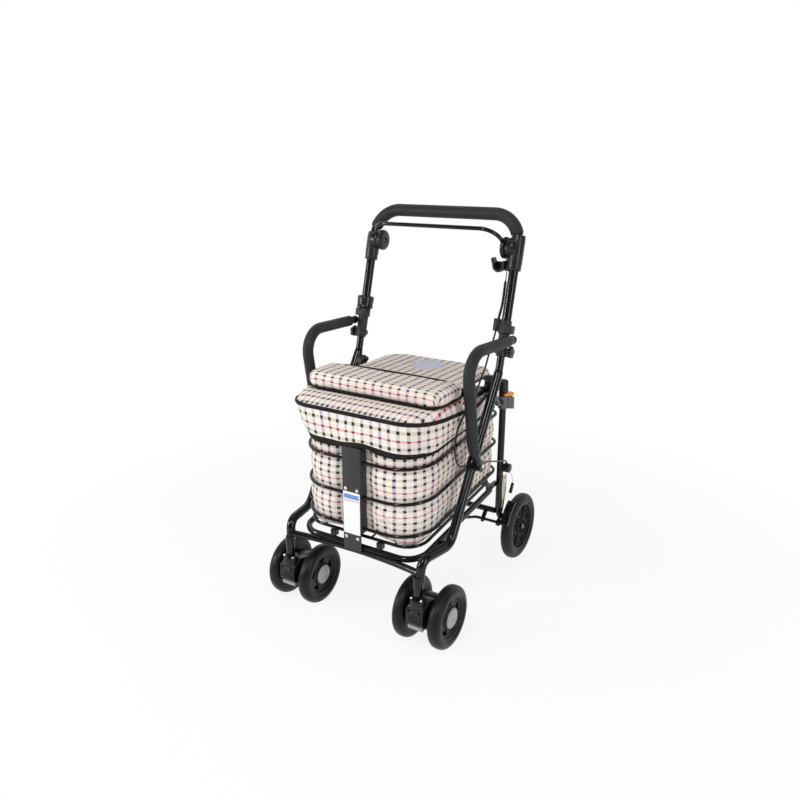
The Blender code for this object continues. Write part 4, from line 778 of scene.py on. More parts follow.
class RollatorStage(PropertyGroup):
    """Camera, light and floor."""

    camera: bpy.props.FloatVectorProperty(
        name="Camera", description="Place of the camera", default=(0.9691, -1.6137, 1.08), unit="LENGTH")
    azimuth: number_property("Azimuth", "Turn of the view", math.radians(32.4), unit="ROTATION")
    elevation: number_property("Elevation", "Drop of the view", math.radians(17.41), unit="ROTATION")
    roll: number_property("Roll", "Tilt of the camera", math.radians(-0.07), unit="ROTATION")
    lens: number_property("Lens", "Focal length on a 36 mm sensor", 34.99)
    floor: colour_property("Floor", "Colour of the floor", (0.92, 0.92, 0.925))
    floor_white: number_property(
        "Floor white", "Share of plain white in the near floor", 0.86, min=0.0, max=1.0)
    world: number_property("World", "Strength of the room's light", 0.42)
    dim: number_property("Dim side", "Mirrored room behind the camera", 0.15, min=0.0, max=1.0)
    key: number_property("Key", "Power of the lamp at the left", 30.0, unit="POWER")
    front: number_property("Front", "Power of the lamp high in front", 23.0, unit="POWER")
    fill: number_property("Fill", "Power of the lamp at the right", 22.0, unit="POWER")
    top: number_property("Top", "Power of the lamp above", 5.0, unit="POWER")


def finish(name):
    """The material of that name, made when first asked for."""
    if name in bpy.data.materials:
        return bpy.data.materials[name]
    paint, cloth = bpy.context.scene.rollator_paint, bpy.context.scene.rollator_cloth
    makers = {
        "tube_paint": (paint_finish, paint.tube, 0.12),
        "plate_paint": (paint_finish, paint.plate, 0.42),
        "black_moulding": (plastic_finish, paint.black, 0.28, 1900, 0.4),
        "grey_moulding": (plastic_finish, paint.grey, 0.44),
        "clip_moulding": (plastic_finish, paint.clip, 0.4),
        "wheel_moulding": (plastic_finish, paint.hub, 0.42),
        "wheel_cap": (plastic_finish, paint.cap, 0.36, 1400, 0.4),
        "lip_moulding": (plastic_finish, paint.lip, 0.4),
        "orange_moulding": (plastic_finish, paint.orange, 0.38, 1900, 0.4),
        "grip_foam": (foam_finish, paint.foam),
        "castor_rubber": (rubber_finish, paint.tyre, 0.34),
        "rear_rubber": (rubber_finish, paint.rear_tyre, 0.46),
        "bright_steel": (metal_finish, (0.82, 0.82, 0.84), 0.16),
        "dull_steel": (metal_finish, (0.24, 0.24, 0.26), 0.34),
        "yellow_zinc_plate": (metal_finish, paint.zinc, 0.34),
        "check": (check_finish, cloth.base, cloth),
        "binding": (tape_finish, cloth.tape),
        # The black of the seat boards is their own and also stands in for the shadow in the gap under the
        # front pad, as painted shade.
        "seat_board_black": (plastic_finish, (0.008, 0.008, 0.009), 0.6, 700, 0.15),
        "white_label": (panel_finish, (0.86, 0.87, 0.88)),
        "oval_patch": (patch_finish, (0.62, 0.62, 0.72)),
    }
    maker, colour, *rest = makers[name]
    return maker(name, tuple(colour), *rest)


def dress(material, *nodes):
    """Gives CAD nodes whose shape stays a finish."""
    for node in nodes:
        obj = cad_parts[node]
        obj.data.materials.clear()
        obj.data.materials.append(finish(material))


def build(execute):
    """Wraps an operator's work so that it reports as finished."""
    def run(self, context):
        execute(self)
        return {"FINISHED"}
    return run


# Frame

class ROLLATOR_OT_side_frames(Operator):
    """Side frames: a tube from the sleeve over the knee to the castor stem, and the stem's cover"""
    bl_idname = "rollator.side_frames"
    bl_label = "Side frames"

    @build
    def execute(self):
        for side, word in SIDES:
            path = rounded([on_upright(side, UPRIGHT_TOP), on_upright(side, KNEE_Z),
                            (side * FRAME_X, *FOOT), (side * (STEM[0] + 0.004), STEM[1] + 0.011, 0.2265),
                            (side * STEM[0], STEM[1] + 0.004, 0.176)], [0.06, 0.04, 0.024], 14)
            radius = np.interp(path[:, 2], [KNEE_Z - 0.003, KNEE_Z + 0.004], [FRAME_RADIUS, UPRIGHT_RADIUS])
            form = Form().tube(path, radius, 32)
            form.turned([(0, STEM_BOTTOM), (0.0108, STEM_BOTTOM), (0.0114, STEM_BOTTOM + 0.0008),
                         (0.0106, STEM_TOP - 0.002), (0.01, STEM_TOP), (0, STEM_TOP)],
                        (side * STEM[0], STEM[1], 0), Z, 40)
            form.piece(f"side_frame_tube_{word}", "tube_paint", "frame", (f"side_frame_{word}",),
                       "black_paint")


class ROLLATOR_OT_cross_tubes(Operator):
    """Cross tubes, rear legs and seat rail"""
    bl_idname = "rollator.cross_tubes"
    bl_label = "Cross tubes and legs"

    @build
    def execute(self):
        half = STEM[0] - 0.002
        x = np.linspace(-half, half, 41)
        bow = STEM[1] + 0.003 + 0.0155 * (1 - (x / half) ** 2)
        Form().tube(
            np.column_stack([x, bow, np.full(41, FRONT_TUBE_Z)]), CROSS_RADIUS, 24,
            normal=Z).piece("front_tube", "tube_paint", "frame", ("front_cross_tube",), "black_paint")
        for side, word in SIDES:
            self.leg(side, word)
        self.rear_tube()
        self.rail()

    def leg(self, side, word):
        x = side * LEG_X
        form = Form().tube(
            rounded([(x, LEG_Y, LEG_TOP), (x, *LEG_BEND), (x, *AXLE)], [0.045], 16), LEG_RADIUS, 28)
        end = REAR_WHEEL_X + 0.0145
        form.turned([(0, -0.009), (0.0122, -0.009), (0.013, -0.0082), (0.013, 0.0087), (0.0122, 0.0095),
                     (0.0045, 0.0095), (0.0045, end - LEG_X), (0, end - LEG_X)], (x, *AXLE), X * side, 36)
        form.piece(f"rear_leg_tube_{word}", "tube_paint", "frame", (f"rear_leg_{word}",), "black_paint")
        nut = Form().plate(disc(0.0078, 6), 0.0052, plane_at((side * (end - 0.0026), *AXLE), Y, Z), 0.0006)
        nut.turned([(0, 0.003), (0.003, 0.0026), (0.0042, 0.0), (0, 0)], (side * (end - 0.0002), *AXLE),
                   X * side, 24)
        nut.piece(f"axle_nut_{word}", "dull_steel", "frame", slot="yellow_zinc")
        cap = Form().turned([(0, 0.0178), (0.0048, 0.0176), (0.0088, 0.0166), (0.0112, 0.0145),
                             (0.0122, 0.0115), (0.0128, -0.0128), (0.012, -0.014), (LEG_BORE, -0.014),
                             (LEG_BORE, 0.0003), (0, 0.0003)], (x, LEG_Y, LEG_TOP), Z, 40)
        cap.piece(f"leg_head_{word}", "black_moulding", "frame", (f"leg_cap_{word}",), "black_plastic")

    def rear_tube(self):
        end = LEG_X - LEG_RADIUS - 0.0003
        y, z = LEG_BEND[0], REAR_TUBE_Z
        form = Form().tube([(-end, y, z), (0, y, z), (end, y, z)], CROSS_RADIUS, 28, normal=Z)
        lean = unit((0, y - BRAKE_AXIS[0], z - BRAKE_AXIS[1]))
        reach = math.hypot(y - BRAKE_AXIS[0], z - BRAKE_AXIS[1])
        for x in (-0.125, 0.125):
            form.plate(bar(0.018, reach, 0.003), 0.005,
                       plane_at((x, (y + BRAKE_AXIS[0]) / 2, (z + BRAKE_AXIS[1]) / 2),
                                np.cross(lean, X), lean),
                       0.0006)
            form.collar(0.0046, 0.009, -0.0025, 0.0025, (x, *BRAKE_AXIS), X, 36)
        form.piece("rear_tube", "tube_paint", "frame", ("rear_cross_tube",), "black_paint")

    def rail(self):
        half = [[(side * LEG_X, LEG_Y - 0.0112, 0.47), (side * (LEG_X + 0.006), 0.118, 0.476),
                 (side * (RAIL_X + 0.001), 0.04, RAIL_Z), (side * RAIL_X, -0.1925, RAIL_Z)]
                for side in (1, -1)]
        path = rounded(half[0] + half[1][::-1], [0.05, 0.05, 0.035, 0.035, 0.05, 0.05], 12)
        Form().tube(path, CROSS_RADIUS, 28, normal=(0, -0.2, 1)).piece(
            "seat_rail", "tube_paint", "frame", ("seat_frame",), "black_paint")
        for side, word in SIDES:
            self.bracket(side, word)

    def bracket(self, side, word):
        """A block saddled on the rail, with a round-headed screw on its inner side."""
        y, z = slant_y(BRACKET_Z), BRACKET_Z
        form = Form().tube([(side * RAIL_X, y - 0.016, RAIL_Z), (side * RAIL_X, y + 0.015, RAIL_Z)],
                           0.0112, 32, normal=Z)
        form.plate(
            outline_of([(y - 0.012, RAIL_Z - 0.003), (y + 0.012, RAIL_Z - 0.003), (y + 0.015, z + 0.004),
                        (y + 0.009, z + 0.012), (y - 0.003, z + 0.012), (y - 0.009, z)], 0.0045), 0.02,
            side_plane(side * 0.188), 0.003)
        for spot in (-0.009, 0.01):
            form.turned([(0, 0.0085), (0.004, 0.008), (0.0052, 0.0066), (0.0056, 0.0), (0, 0)],
                        (side * 0.184, y + spot, RAIL_Z + 0.0085), Z, 28)
        form.piece(f"rail_block_{word}", "black_moulding", "frame", (f"seat_bracket_{word}",),
                   "black_plastic")
        screw = Form().turned([(0, 0.01), (0.0035, 0.0092), (0.0062, 0.0066), (0.0068, 0.003), (0.0068, 0),
                               (0, 0)], (side * 0.1785, y + 0.004, z + 0.003), -X * side, 32)
        screw.piece(f"rail_screw_{word}", "black_moulding", "frame", slot="black_plastic")


class ROLLATOR_OT_basket(Operator):
    """Basket: three wire rings, the base ring, the tray and the front plate"""
    bl_idname = "rollator.basket"
    bl_label = "Basket"

    @build
    def execute(self):
        for level, (z, slope) in RINGS.items():
            wire = ring(RING_HALF, RING_REAR_HALF, RING_FRONT_Y, RING_REAR_Y, z, 0.088, 0.035, slope)
            Form().hoop(wire, RING_RADIUS, 18).piece(
                f"wire_ring_{level}", "tube_paint", "frame", (f"basket_ring_{level}",), "black_paint")
        self.base()
        self.tray()
        self.channel()
        dress("tube_paint", "basket_rear_strap")

    def base(self):
        form = Form().hoop(
            ring(0.167, 0.158, BASE_FRONT_Y, BASE_REAR_Y, BASE_Z, 0.05, 0.038), 0.0075, 24, 0.008)
        y = FOOT[0] + 0.012
        z = BASE_Z + RING_SLOPE * (y - BASE_FRONT_Y)
        lug = BASE_Z + RING_SLOPE * (0.1275 - BASE_FRONT_Y)
        for side, _ in SIDES:
            form.tube([(side * 0.163, y, z), (side * 0.2, y, z + 0.0125)], 0.006, 24, normal=Y)
            form.block((0.0095, 0.053, 0.012), plane_at((side * 0.1525, 0.1265, lug + 0.001), X, Y), 0.003)
        form.piece("base_ring_tube", "tube_paint", "frame", ("base_ring",), "black_paint")

    def tray(self):
        def height(y):
            return FLOOR_Z + RING_SLOPE * (y - FLOOR_FRONT_Y)

        form = Form().hoop(
            ring(0.16, 0.151, FLOOR_FRONT_Y, FLOOR_REAR_Y, FLOOR_Z, 0.052, 0.034), RING_RADIUS, 18, 0.008)
        ends = (FLOOR_FRONT_Y, FLOOR_REAR_Y)
        for x in (-0.1, -0.035, 0.035, 0.1):
            form.tube([(x, y, height(y)) for y in ends], 0.0025, 14, normal=Z)
        for y in (-0.15, -0.02):
            form.tube([(x, y, height(y)) for x in (-0.156, 0.156)], 0.0025, 14, normal=Z)
        for x in (-0.066, 0.066):
            for y in ((BASE_FRONT_Y + FLOOR_FRONT_Y) / 2, BASE_REAR_Y - 0.0055):
                bottom = BASE_Z + RING_SLOPE * (y - BASE_FRONT_Y) + 0.007
                form.block((0.015, 0.016, height(y) - bottom),
                           plane_at((x, y, (height(y) + bottom) / 2), X, Y), 0.002)
        form.piece("basket_tray", "tube_paint", "frame", ("basket_floor",), "black_paint")

    def channel(self):
        """The plate: a flat face with two flanges folded back from it, which the rings pass through,
        the panel screwed on it and the domed screws, each with a round socket."""
        low, fold, high = 0.2, 0.245, 0.4565
        depth = 0.0245
        face = PLATE_FACE_Y + PLATE_WALL / 2
        form = Form().block((0.05, high - low, PLATE_WALL), plane_at((0, face, (low + high) / 2), X, Z),
                            0.003, 0.0007)
        for side in (-1, 1):
            spot = (side * (0.025 - PLATE_WALL / 2), face + depth / 2, (fold + high) / 2)
            form.block((depth, high - fold, PLATE_WALL), plane_at(spot, Y, Z), 0.0008, 0.0007)
            form.tube([(side * 0.0239, face, fold), (side * 0.0239, face, high)], 0.0011, 12, normal=Y)
        form.piece("front_channel", "plate_paint", "frame", ("front_plate",), "black_paint")
        panel = Form().block((2 * LABEL_HALF, LABEL_TOP - LABEL_BOTTOM, 0.001),
                             plane_at((0, PLATE_FACE_Y - 0.0005, (LABEL_TOP + LABEL_BOTTOM) / 2), X, Z),
                             0.0015, 0.0003)
        panel.piece("front_panel", "white_label", "frame", ("label_panel",), "white_panel")
        heads = Form()
        for z in (LABEL_BOTTOM - 0.0095, LABEL_TOP + 0.007):
            for x in (-0.016, 0.016):
                heads.turned([(0.0, 0.0011), (0.0013, 0.0011), (0.0015, 0.0026), (0.0026, 0.0024),
                              (0.0038, 0.0017), (0.0045, 0.0004), (0.0045, -0.0004), (0, -0.0004)],
                             (x, PLATE_FACE_Y - 0.0004, z), -Y, 32)
        heads.piece("plate_screws", "bright_steel", "frame", slot="yellow_zinc")


# Bag

# Where the rows of the check start on the body, the skirt and the front pad
BODY_CHECK, SKIRT_CHECK, PAD_CHECK = 0.4108, 0.0396, 0.0091


class ROLLATOR_OT_bag(Operator):
    """Bag: cloth pressed against the rings, a flared skirt under the lid and bound edges"""
    bl_idname = "rollator.bag"
    bl_label = "Bag"

    half = RING_HALF - RING_RADIUS - BAG_GAP
    rear_half = RING_REAR_HALF - RING_RADIUS - BAG_GAP
    front = RING_FRONT_Y + RING_RADIUS + BAG_GAP
    rear = RING_REAR_Y - RING_RADIUS - BAG_GAP
    columns = np.linspace(0, 1, 360, endpoint=False)
    piping = dict(z=PIPING_Z, slope=PIPING_SLOPE, corner=0.068, wide=0.0234, front=0.0188, rear=0.009)

    @build
    def execute(self):
        self.body()
        self.skirt(bpy.context.scene.rollator_cloth.tape_height / 2)
        self.deck()

    def outline(self, z, slope=RING_SLOPE, corner=0.08, inset=0.0, wide=0.0, front=0.0, rear=0.0):
        """The bag's outline at a height, read at even steps from the middle of the front."""
        steps = 16
        loop = ring(self.half - inset + wide, self.rear_half - inset, self.front + inset - front,
                    self.rear - inset - rear, z, corner, corner * 0.45, slope, steps)
        loop = np.concatenate([loop, loop[:1]])
        run = running(loop)
        return read(loop, (self.columns * run[-1] + (run[steps] + run[steps + 1]) / 2) % run[-1])

    def folds(self, height):
        """Soft folds: sums of sines round the bag, stronger in the corners and low down."""
        a = self.columns[None] * math.tau
        h = height[:, None]
        slack = (0.5 + 0.5 * np.cos(4 * (a - 0.75))) * (1.1 - h)
        return (0.0016 * slack * np.sin(17 * a + 5 * h)
                + 0.0009 * np.sin(29 * a - 9 * h + 1.3) * (1 - h)
                + 0.0007 * np.sin(7 * a + 14 * h))

    def measured(self, grid, level, shift=0.0):
        """UV in metres: columns run straight down the bag from the middle of its front, rows keep
        the given levels."""
        middle = grid[len(grid) // 2]
        middle = np.concatenate([middle, middle[:1]])
        return np.stack(np.meshgrid(shift + running(middle), level), axis=-1)

    def heights(self, grid):
        """Mean length of the cloth from its first row up to each row."""
        return np.concatenate([[0], np.cumsum(np.linalg.norm(np.diff(grid, axis=0), axis=2).mean(axis=1))])

    def hump(self, x):
        """The skirt is drawn up where it passes over the plate: a bell curve."""
        return 0.0085 * np.exp(-((x - 0.03) / 0.045) ** 2)

    def body(self):
        """The lower bag. It swells between the rings as a sine squared, hangs over the tray in its
        front corners and is drawn in beside the plate."""
        (low, _), (middle, _), (high, high_slope) = RINGS.values()
        z = np.concatenate([
            BAG_BOTTOM + np.array([0, 0, 0, 0.003, 0.008, 0.014]), np.linspace(low - 0.004, BAG_RIM, 50)])
        inset = np.concatenate([[self.half * 0.55, 0.05, 0.026, 0.016, 0.009, 0.0045],
                                np.full(50, 0.0006)])
        slope = np.interp(z, [middle, high, BAG_RIM], [RING_SLOPE, high_slope, 0.045])
        corner = np.interp(z, [BAG_BOTTOM, low], [0.058, 0.082])
        loops = np.stack([self.outline(*row) for row in zip(z, slope, corner, inset)])
        between = np.interp(z, [low, middle, high, high + 0.076], [0, 1, 2, 3]) % 1.0
        wave = (np.sin(math.pi * between) * (z > low))[:, None]
        share = np.clip((z - BAG_BOTTOM) / (high - BAG_BOTTOM), 0, 1)
        x, y, level = np.moveaxis(loops, -1, 0)
        window = np.exp(-((x - 0.08) / 0.038) ** 2 - ((level - 0.292) / 0.04) ** 2) * (y < -0.25)
        slanted = 0.003 * window * np.sin(math.tau * (0.9 * x + level) / 0.02)
        push = 0.0042 * wave ** 2 + (self.folds(share) + slanted) * wave
        out = outward(loops)
        grid = loops + out * push[..., None]
        hang = np.exp(-((np.abs(x) - 0.124) / 0.045) ** 2 - ((y + 0.232) / 0.045) ** 2)
        grid[..., 2] -= 0.0125 * hang * np.clip((low + 0.03 - z) / 0.03, 0, 1)[:, None]
        grid[..., 1] += 0.0125 * ease((0.062 - np.abs(x)) / 0.03) * (y < -0.25)
        top = np.clip((z - high) / (BAG_RIM - high), 0, 1)[:, None] ** 2
        grid[..., 2] += top * self.hump(x) * (y < -0.2)
        run = self.heights(grid)
        run += BODY_CHECK - np.interp(high - 0.0085, z, run)
        form = Form()
        form.surface(grid[::-1], (False, True), self.measured(grid, run, -0.005)[::-1])
        form.lid(grid[0][::-1], grid[0][::-1, :2])
        form.piece("bag_cloth", "check", "frame", ("bag_body",), "check_cloth", 60)
        hem = grid[-1] * 0.35 + grid[-4] * 0.65 + out[-1] * 0.001
        Form().hoop(
            hem, 0.0042, 14, flat=(0.55, 1.0)).piece("bag_hem", "binding", "frame", slot="check_cloth")

    def spread(self, loop, target, weight):
        """Widens the loop's sides to a half width, so that they pass outside the seat's rail: fully
        from the front corner to where the rail shows, then fading towards the rear."""
        x, y = loop[..., 0], loop[..., 1]
        enter = np.clip((y + 0.245) / 0.035, 0, 1)
        more = np.maximum(target - np.abs(x), 0) * enter * ease((0.065 - y) / 0.145)
        loop[..., 0] += np.sign(x) * more * weight * (np.abs(x) > 0.12)
        return loop

    def skirt(self, tape):
        """The lid's cloth from its hem up to the piping: loops joined by a Catmull-Rom curve. Its hem
        passes in front of the plate, is drawn up there and stands off at the left corner."""
        wall = [dict(z=0.453, slope=0.045, corner=0.084, wide=0.0046, front=0.0107),
                dict(z=0.469, slope=0.026, corner=0.082, wide=0.0108, front=0.0134),
                dict(z=0.494, slope=0.000, corner=0.078, wide=0.0178, front=0.0168, rear=0.003),
                dict(z=0.5225, slope=-0.034, corner=0.072, wide=0.023, front=0.019, rear=0.006),
                self.piping]
        knots = np.stack([self.outline(**row) for row in wall])
        grid = spline(knots.reshape(len(wall), -1), steps=9).reshape(-1, len(self.columns), 3)
        share = np.linspace(0, 1, len(grid))[:, None]
        self.spread(grid, SKIRT_HALF, np.sqrt(share))
        x, y = grid[..., 0].copy(), grid[..., 1].copy()
        low = (1 - share) ** 2
        grid[..., 1] -= 0.0075 * np.exp(-(x / 0.042) ** 4) * low * (y < -0.2)
        stand = np.exp(-((x + 0.16) / 0.05) ** 2 - ((y + 0.25) / 0.07) ** 2)
        grid[..., 2] += (self.hump(x) * (y < -0.2) + 0.0185 * stand) * low
        grid[..., :2] -= (0.003 * stand * low)[..., None]
        wavy = np.sin(math.pi * share) * np.sin(self.columns[None] * math.tau * 9 + 3 * share)
        out = outward(grid)
        grid += out * (0.0011 * wavy)[..., None]
        drop = self.heights(grid)
        drop = SKIRT_CHECK + 0.9 * (drop[-1] - drop)
        made = Form().surface(grid[::-1], (False, True), self.measured(
            grid, drop, 0.023)[::-1]).piece("bag_skirt", "check", "frame", slot="check_cloth", sharp=60)
        self.thicken(made)
        form = Form().hoop(grid[0] + out[0] * 0.0006 + Z * 0.006, tape * 1.15, 20, flat=(0.4, 1.0))
        form.hoop(grid[-1] + out[-1] * 0.0006, tape, 20, flat=(0.52, 1.0))
        form.piece("bag_binding", "binding", "frame", slot="check_cloth")

    def thicken(self, made):
        """Thickness of the cloth, on its inner side."""
        thick = made.modifiers.new("cloth", "SOLIDIFY")
        thick.thickness = 0.0012
        thick.offset = -1.0

    def deck(self):
        """From the piping up over the seat's rail, then down inside to the mouth."""
        edge = self.spread(self.outline(**self.piping), SKIRT_HALF, 1.0)
        shoulder = self.spread(self.outline(0, 0, 0.056, 0.006, 0.0187, -0.0498, 0.0108), 0.181, 1.0)
        mouth = self.outline(0, 0, 0.04, 0.03, 0.0017, -0.0343, 0.0198)

        def slope(loop):
            return PIPING_Z + PIPING_SLOPE * (loop[:, 1] - edge[:, 1].min())

        shoulder[:, 2] = slope(shoulder) + 0.0045
        shoulder[:, 2] += ease((-0.035 - shoulder[:, 1]) / 0.065) * (SHOULDER_Z - shoulder[:, 2])
        mouth[:, 2] = slope(mouth) - 0.001

        def across(outer, inner, share, lift):
            loop = outer + (inner - outer) * share
            loop[:, 2] = outer[:, 2] + (inner[:, 2] - outer[:, 2]) * lift
            return loop

        knots = np.stack([
            edge, across(edge, shoulder, 0.3, 0.66), across(edge, shoulder, 0.68, 0.97), shoulder,
            across(shoulder, mouth, 0.28, 0.1), across(shoulder, mouth, 0.62, 0.75), mouth])
        grid = spline(knots.reshape(len(knots), -1), steps=6).reshape(-1, len(self.columns), 3)
        around = np.concatenate([grid, grid[:, :1]], axis=1)
        made = Form().surface(grid[::-1], (False, True), around[::-1, :, 1::-1]).piece(
            "bag_deck", "check", "frame", slot="check_cloth", sharp=60)
        self.thicken(made)
        Form().hoop(
            mouth, 0.0024, 12, 0.007).piece("bag_mouth_rim", "binding", "frame", slot="check_cloth")


# Seat

class ROLLATOR_OT_seat(Operator):
    """Seat: two stuffed pads blown up as cloth, the bound seam between them and an oval patch"""
    bl_idname = "rollator.seat"
    bl_label = "Seat"

    @build
    def execute(self):
        # Black boards: under the front pad the black board edge also stands in for the shadow in the gap,
        # as painted shade.
        dress("seat_board_black", "seat_board", "lid_board")
        front = self.pad("seat_pad", "seat_cushion", "frame", (0.036, 0.01), 0.0105, 0.003, 0.6)
        rear = self.pad("lid_pad", "lid_cushion", "lid", (0.008, 0.05), 0.0, 0.0, 0.45)
        self.seam()
        self.patch(rear)

    def pad(self, name, node, body, corners, wider, higher, share_of_rise):
        """A closed pad: stacked rounded outlines drawn in at the middle of the side, crowned on top
        by a product of two parabolas. Cloth under pressure then fills it."""
        stuffing = bpy.context.scene.rollator_stuffing
        low, high = (np.array(corner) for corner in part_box(node))
        low, high = Vector(low - [wider, 0, 0]), Vector(high + [wider, 0, higher])
        half = (high.x - low.x) / 2
        thick = high.z - low.z
        soft = min(1.0, thick / 0.025)
        share = np.array([0.0, 0.05, 0.14, 0.3, 0.5, 0.7, 0.86, 0.96, 1.0])
        inset = np.array([0.009, 0.004, 0.0014, 0.0004, 0.0012, 0.0004, 0.0018, 0.0052, 0.011]) * soft
        loops = [ring(half - i, half - i - (0.003 if body == "lid" else 0), low.y + i, high.y - i,
                      low.z + 0.0004 + s * thick * 0.93, corners[0], corners[1], 0.0, 10) for s,
                 i in zip(share, inset)]
        centre = np.array([0, (low.y + high.y) / 2, 0])
        shrunk = (0.85, 0.6, 0.3, 0.0)
        top = [centre + (loops[-1] - centre) * [k, k, 1] for k in shrunk]
        bottom = [centre + (loops[0] - centre) * [k, k, 1] for k in shrunk[::-1]]
        grid = np.stack(bottom + loops + top)
        reach = np.abs(grid - centre) / [half, (high.y - low.y) / 2, 1]
        crown = np.clip(1 - reach[..., 0] ** 2, 0, 1) * np.clip(1 - reach[..., 1] ** 2, 0, 1)
        rim = len(bottom) + len(loops) - 3
        grid[rim:, :, 2] += thick * 0.1 * crown[rim:]
        made = Form().surface(grid, (False, True)).piece(name, "check", body, (node,), "check_cloth", 60)
        remesh = made.modifiers.new("cells", "REMESH")
        remesh.mode = "VOXEL"
        remesh.voxel_size = stuffing.voxel if thick > 0.02 else stuffing.voxel * 0.72
        remesh.use_smooth_shade = True
        self.apply(made)
        self.stuff(made, stuffing, low, high, share_of_rise)
        smooth = made.modifiers.new("soften", "CORRECTIVE_SMOOTH")
        smooth.iterations = 4
        smooth.use_only_smooth = True
        self.apply(made)
        finer = made.modifiers.new("finer", "SUBSURF")
        finer.levels = finer.render_levels = 1
        self.apply(made)
        self.wrap(made, low, high, PAD_CHECK if body == "frame" else 0.0)
        return made

    def apply(self, made):
        """Bakes the modifiers into the mesh."""
        bpy.context.view_layer.update()
        old = made.data
        graph = bpy.context.evaluated_depsgraph_get()
        made.data = bpy.data.meshes.new_from_object(made.evaluated_get(graph))
        made.modifiers.clear()
        bpy.data.meshes.remove(old)

    def stuff(self, made, stuffing, low, high, share):
        """Cloth under pressure; a point may move no further than the rise, or outside the box."""
        rest = points_of(made.data)
        cloth = made.modifiers.new("cloth", "CLOTH")
        cloth.settings.use_pressure = True
        cloth.settings.uniform_pressure_force = stuffing.pressure
        cloth.settings.effector_weights.gravity = 0.0
        cloth.settings.quality = 5
        cloth.settings.tension_stiffness = 20
        cloth.settings.compression_stiffness = 20
        cloth.settings.bending_stiffness = 0.6
        cloth.point_cache.frame_start, cloth.point_cache.frame_end = 1, stuffing.frames
        for step in range(1, stuffing.frames + 1):
            bpy.context.scene.frame_set(step)
        graph = bpy.context.evaluated_depsgraph_get()
        moved = points_of(made.evaluated_get(graph).to_mesh())
        made.modifiers.clear()
        bpy.context.scene.frame_set(1)
        way = moved - rest
        far = np.linalg.norm(way, axis=1, keepdims=True)
        way *= np.minimum(1, stuffing.rise / np.maximum(far, 1e-9)) * share
        moved = np.clip(rest + way, np.array(low), np.array(high) + [0, 0, 0.0005])
        made.data.vertices.foreach_set("co", moved.astype(np.float32).ravel())
        made.data.update()

    def wrap(self, made, low, high, shift):
        """UV in metres: the check runs over the top and down the sides without a break."""
        mesh = made.data
        at = points_of(mesh)
        centre = np.array([0, (low.y + high.y) / 2])
        half = np.array([high.x - 0.018, (high.y - low.y) / 2 - 0.018])
        core = np.clip(at[:, :2] - centre, -half, half)
        way = at[:, :2] - centre - core
        far = np.linalg.norm(way, axis=1, keepdims=True)
        drop = (high.z - at[:, 2:]) * np.clip(far / 0.01, 0, 1)
        flat = at[:, :2] + way / np.maximum(far, 1e-6) * drop + [0, shift]
        corner = np.empty(len(mesh.loops), np.int32)
        mesh.loops.foreach_get("vertex_index", corner)
        layer = mesh.uv_layers.get("metres") or mesh.uv_layers.new(name="metres")
        layer.data.foreach_set("uv", flat[corner].astype(np.float32).ravel())
        mesh.uv_layers.active = layer
        mesh.shade_smooth()

    def seam(self):
        """Tape over the edge of the front pad where the lid is hinged to it, and under its edge; the black
        tape under the edge also stands in for the shadow in the gap under the pad, as painted shade.
        """
        low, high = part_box("seat_cushion")
        form = Form()
        x = np.linspace(low.x + 0.002, high.x - 0.002, 60)
        z = high.z - 0.0006 - 0.006 * (x / high.x) ** 4
        form.tube(np.column_stack([x, np.full(60, high.y - 0.0056), z]), 0.0046, 16, flat=(0.8, 1.0),
                  normal=Z)
        # A real binding under the pad's edge, whose black also stands in for the shadow in the gap under
        # the pad, as painted shade.
        edge = ring(high.x + 0.007, high.x + 0.007, low.y + 0.002, high.y - 0.003, low.z + 0.0016, 0.035,
                    0.008, 0.0, 12)
        form.hoop(edge, 0.0019, 12)
        form.piece("seat_binding", "binding", "frame", slot="check_cloth")
        low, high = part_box("lid_cushion")
        edge = ring(high.x - 0.0016, high.x - 0.0046, low.y + 0.0016, high.y - 0.0016, low.z + 0.0018,
                    0.008, 0.049, 0.0, 14)
        Form().hoop(edge, 0.0017, 12).piece("lid_binding", "binding", "lid", slot="check_cloth")

    def patch(self, pad):
        """A plain oval patch sewn to the lid, laid on the pad's surface."""
        at = points_of(pad.data)
        top = at[at[:, 2] > at[:, 2].max() - 0.006]
        a = np.linspace(0, math.tau, 72, endpoint=False)[None]
        r = np.array([0, 0.35, 0.65, 0.85, 0.96, 1.0])[:, None]
        middle, wide, long = 0.048, 0.043, 0.044
        x, y = wide * r * np.cos(a), middle + long * r * np.sin(a)
        near = np.argmin((top[None, None, :, 0] - x[..., None]) ** 2
                         + (top[None, None, :, 1] - y[..., None]) ** 2, axis=2)
        z = top[near, 2].mean(axis=1, keepdims=True)
        lift = np.where(r < 0.9, 0.001, np.where(r < 0.99, 0.0008, -0.0004))
        level = np.broadcast_to(np.maximum(z, z[-1:]) + lift, x.shape)
        grid = np.stack([x, y, level], axis=-1)
        form = Form().surface(grid, (False, True), np.concatenate([grid, grid[:, :1]], axis=1)[..., :2])
        rim = np.column_stack([(wide - 0.0012) * np.cos(a[0]),
                               middle + (long - 0.0012) * np.sin(a[0]), level[3] + 0.0002])
        form.tube(rim, 0.0009, 8, closed=True, normal=Z)
        form.piece("lid_patch", "oval_patch", "lid", slot="check_cloth")


# Arms

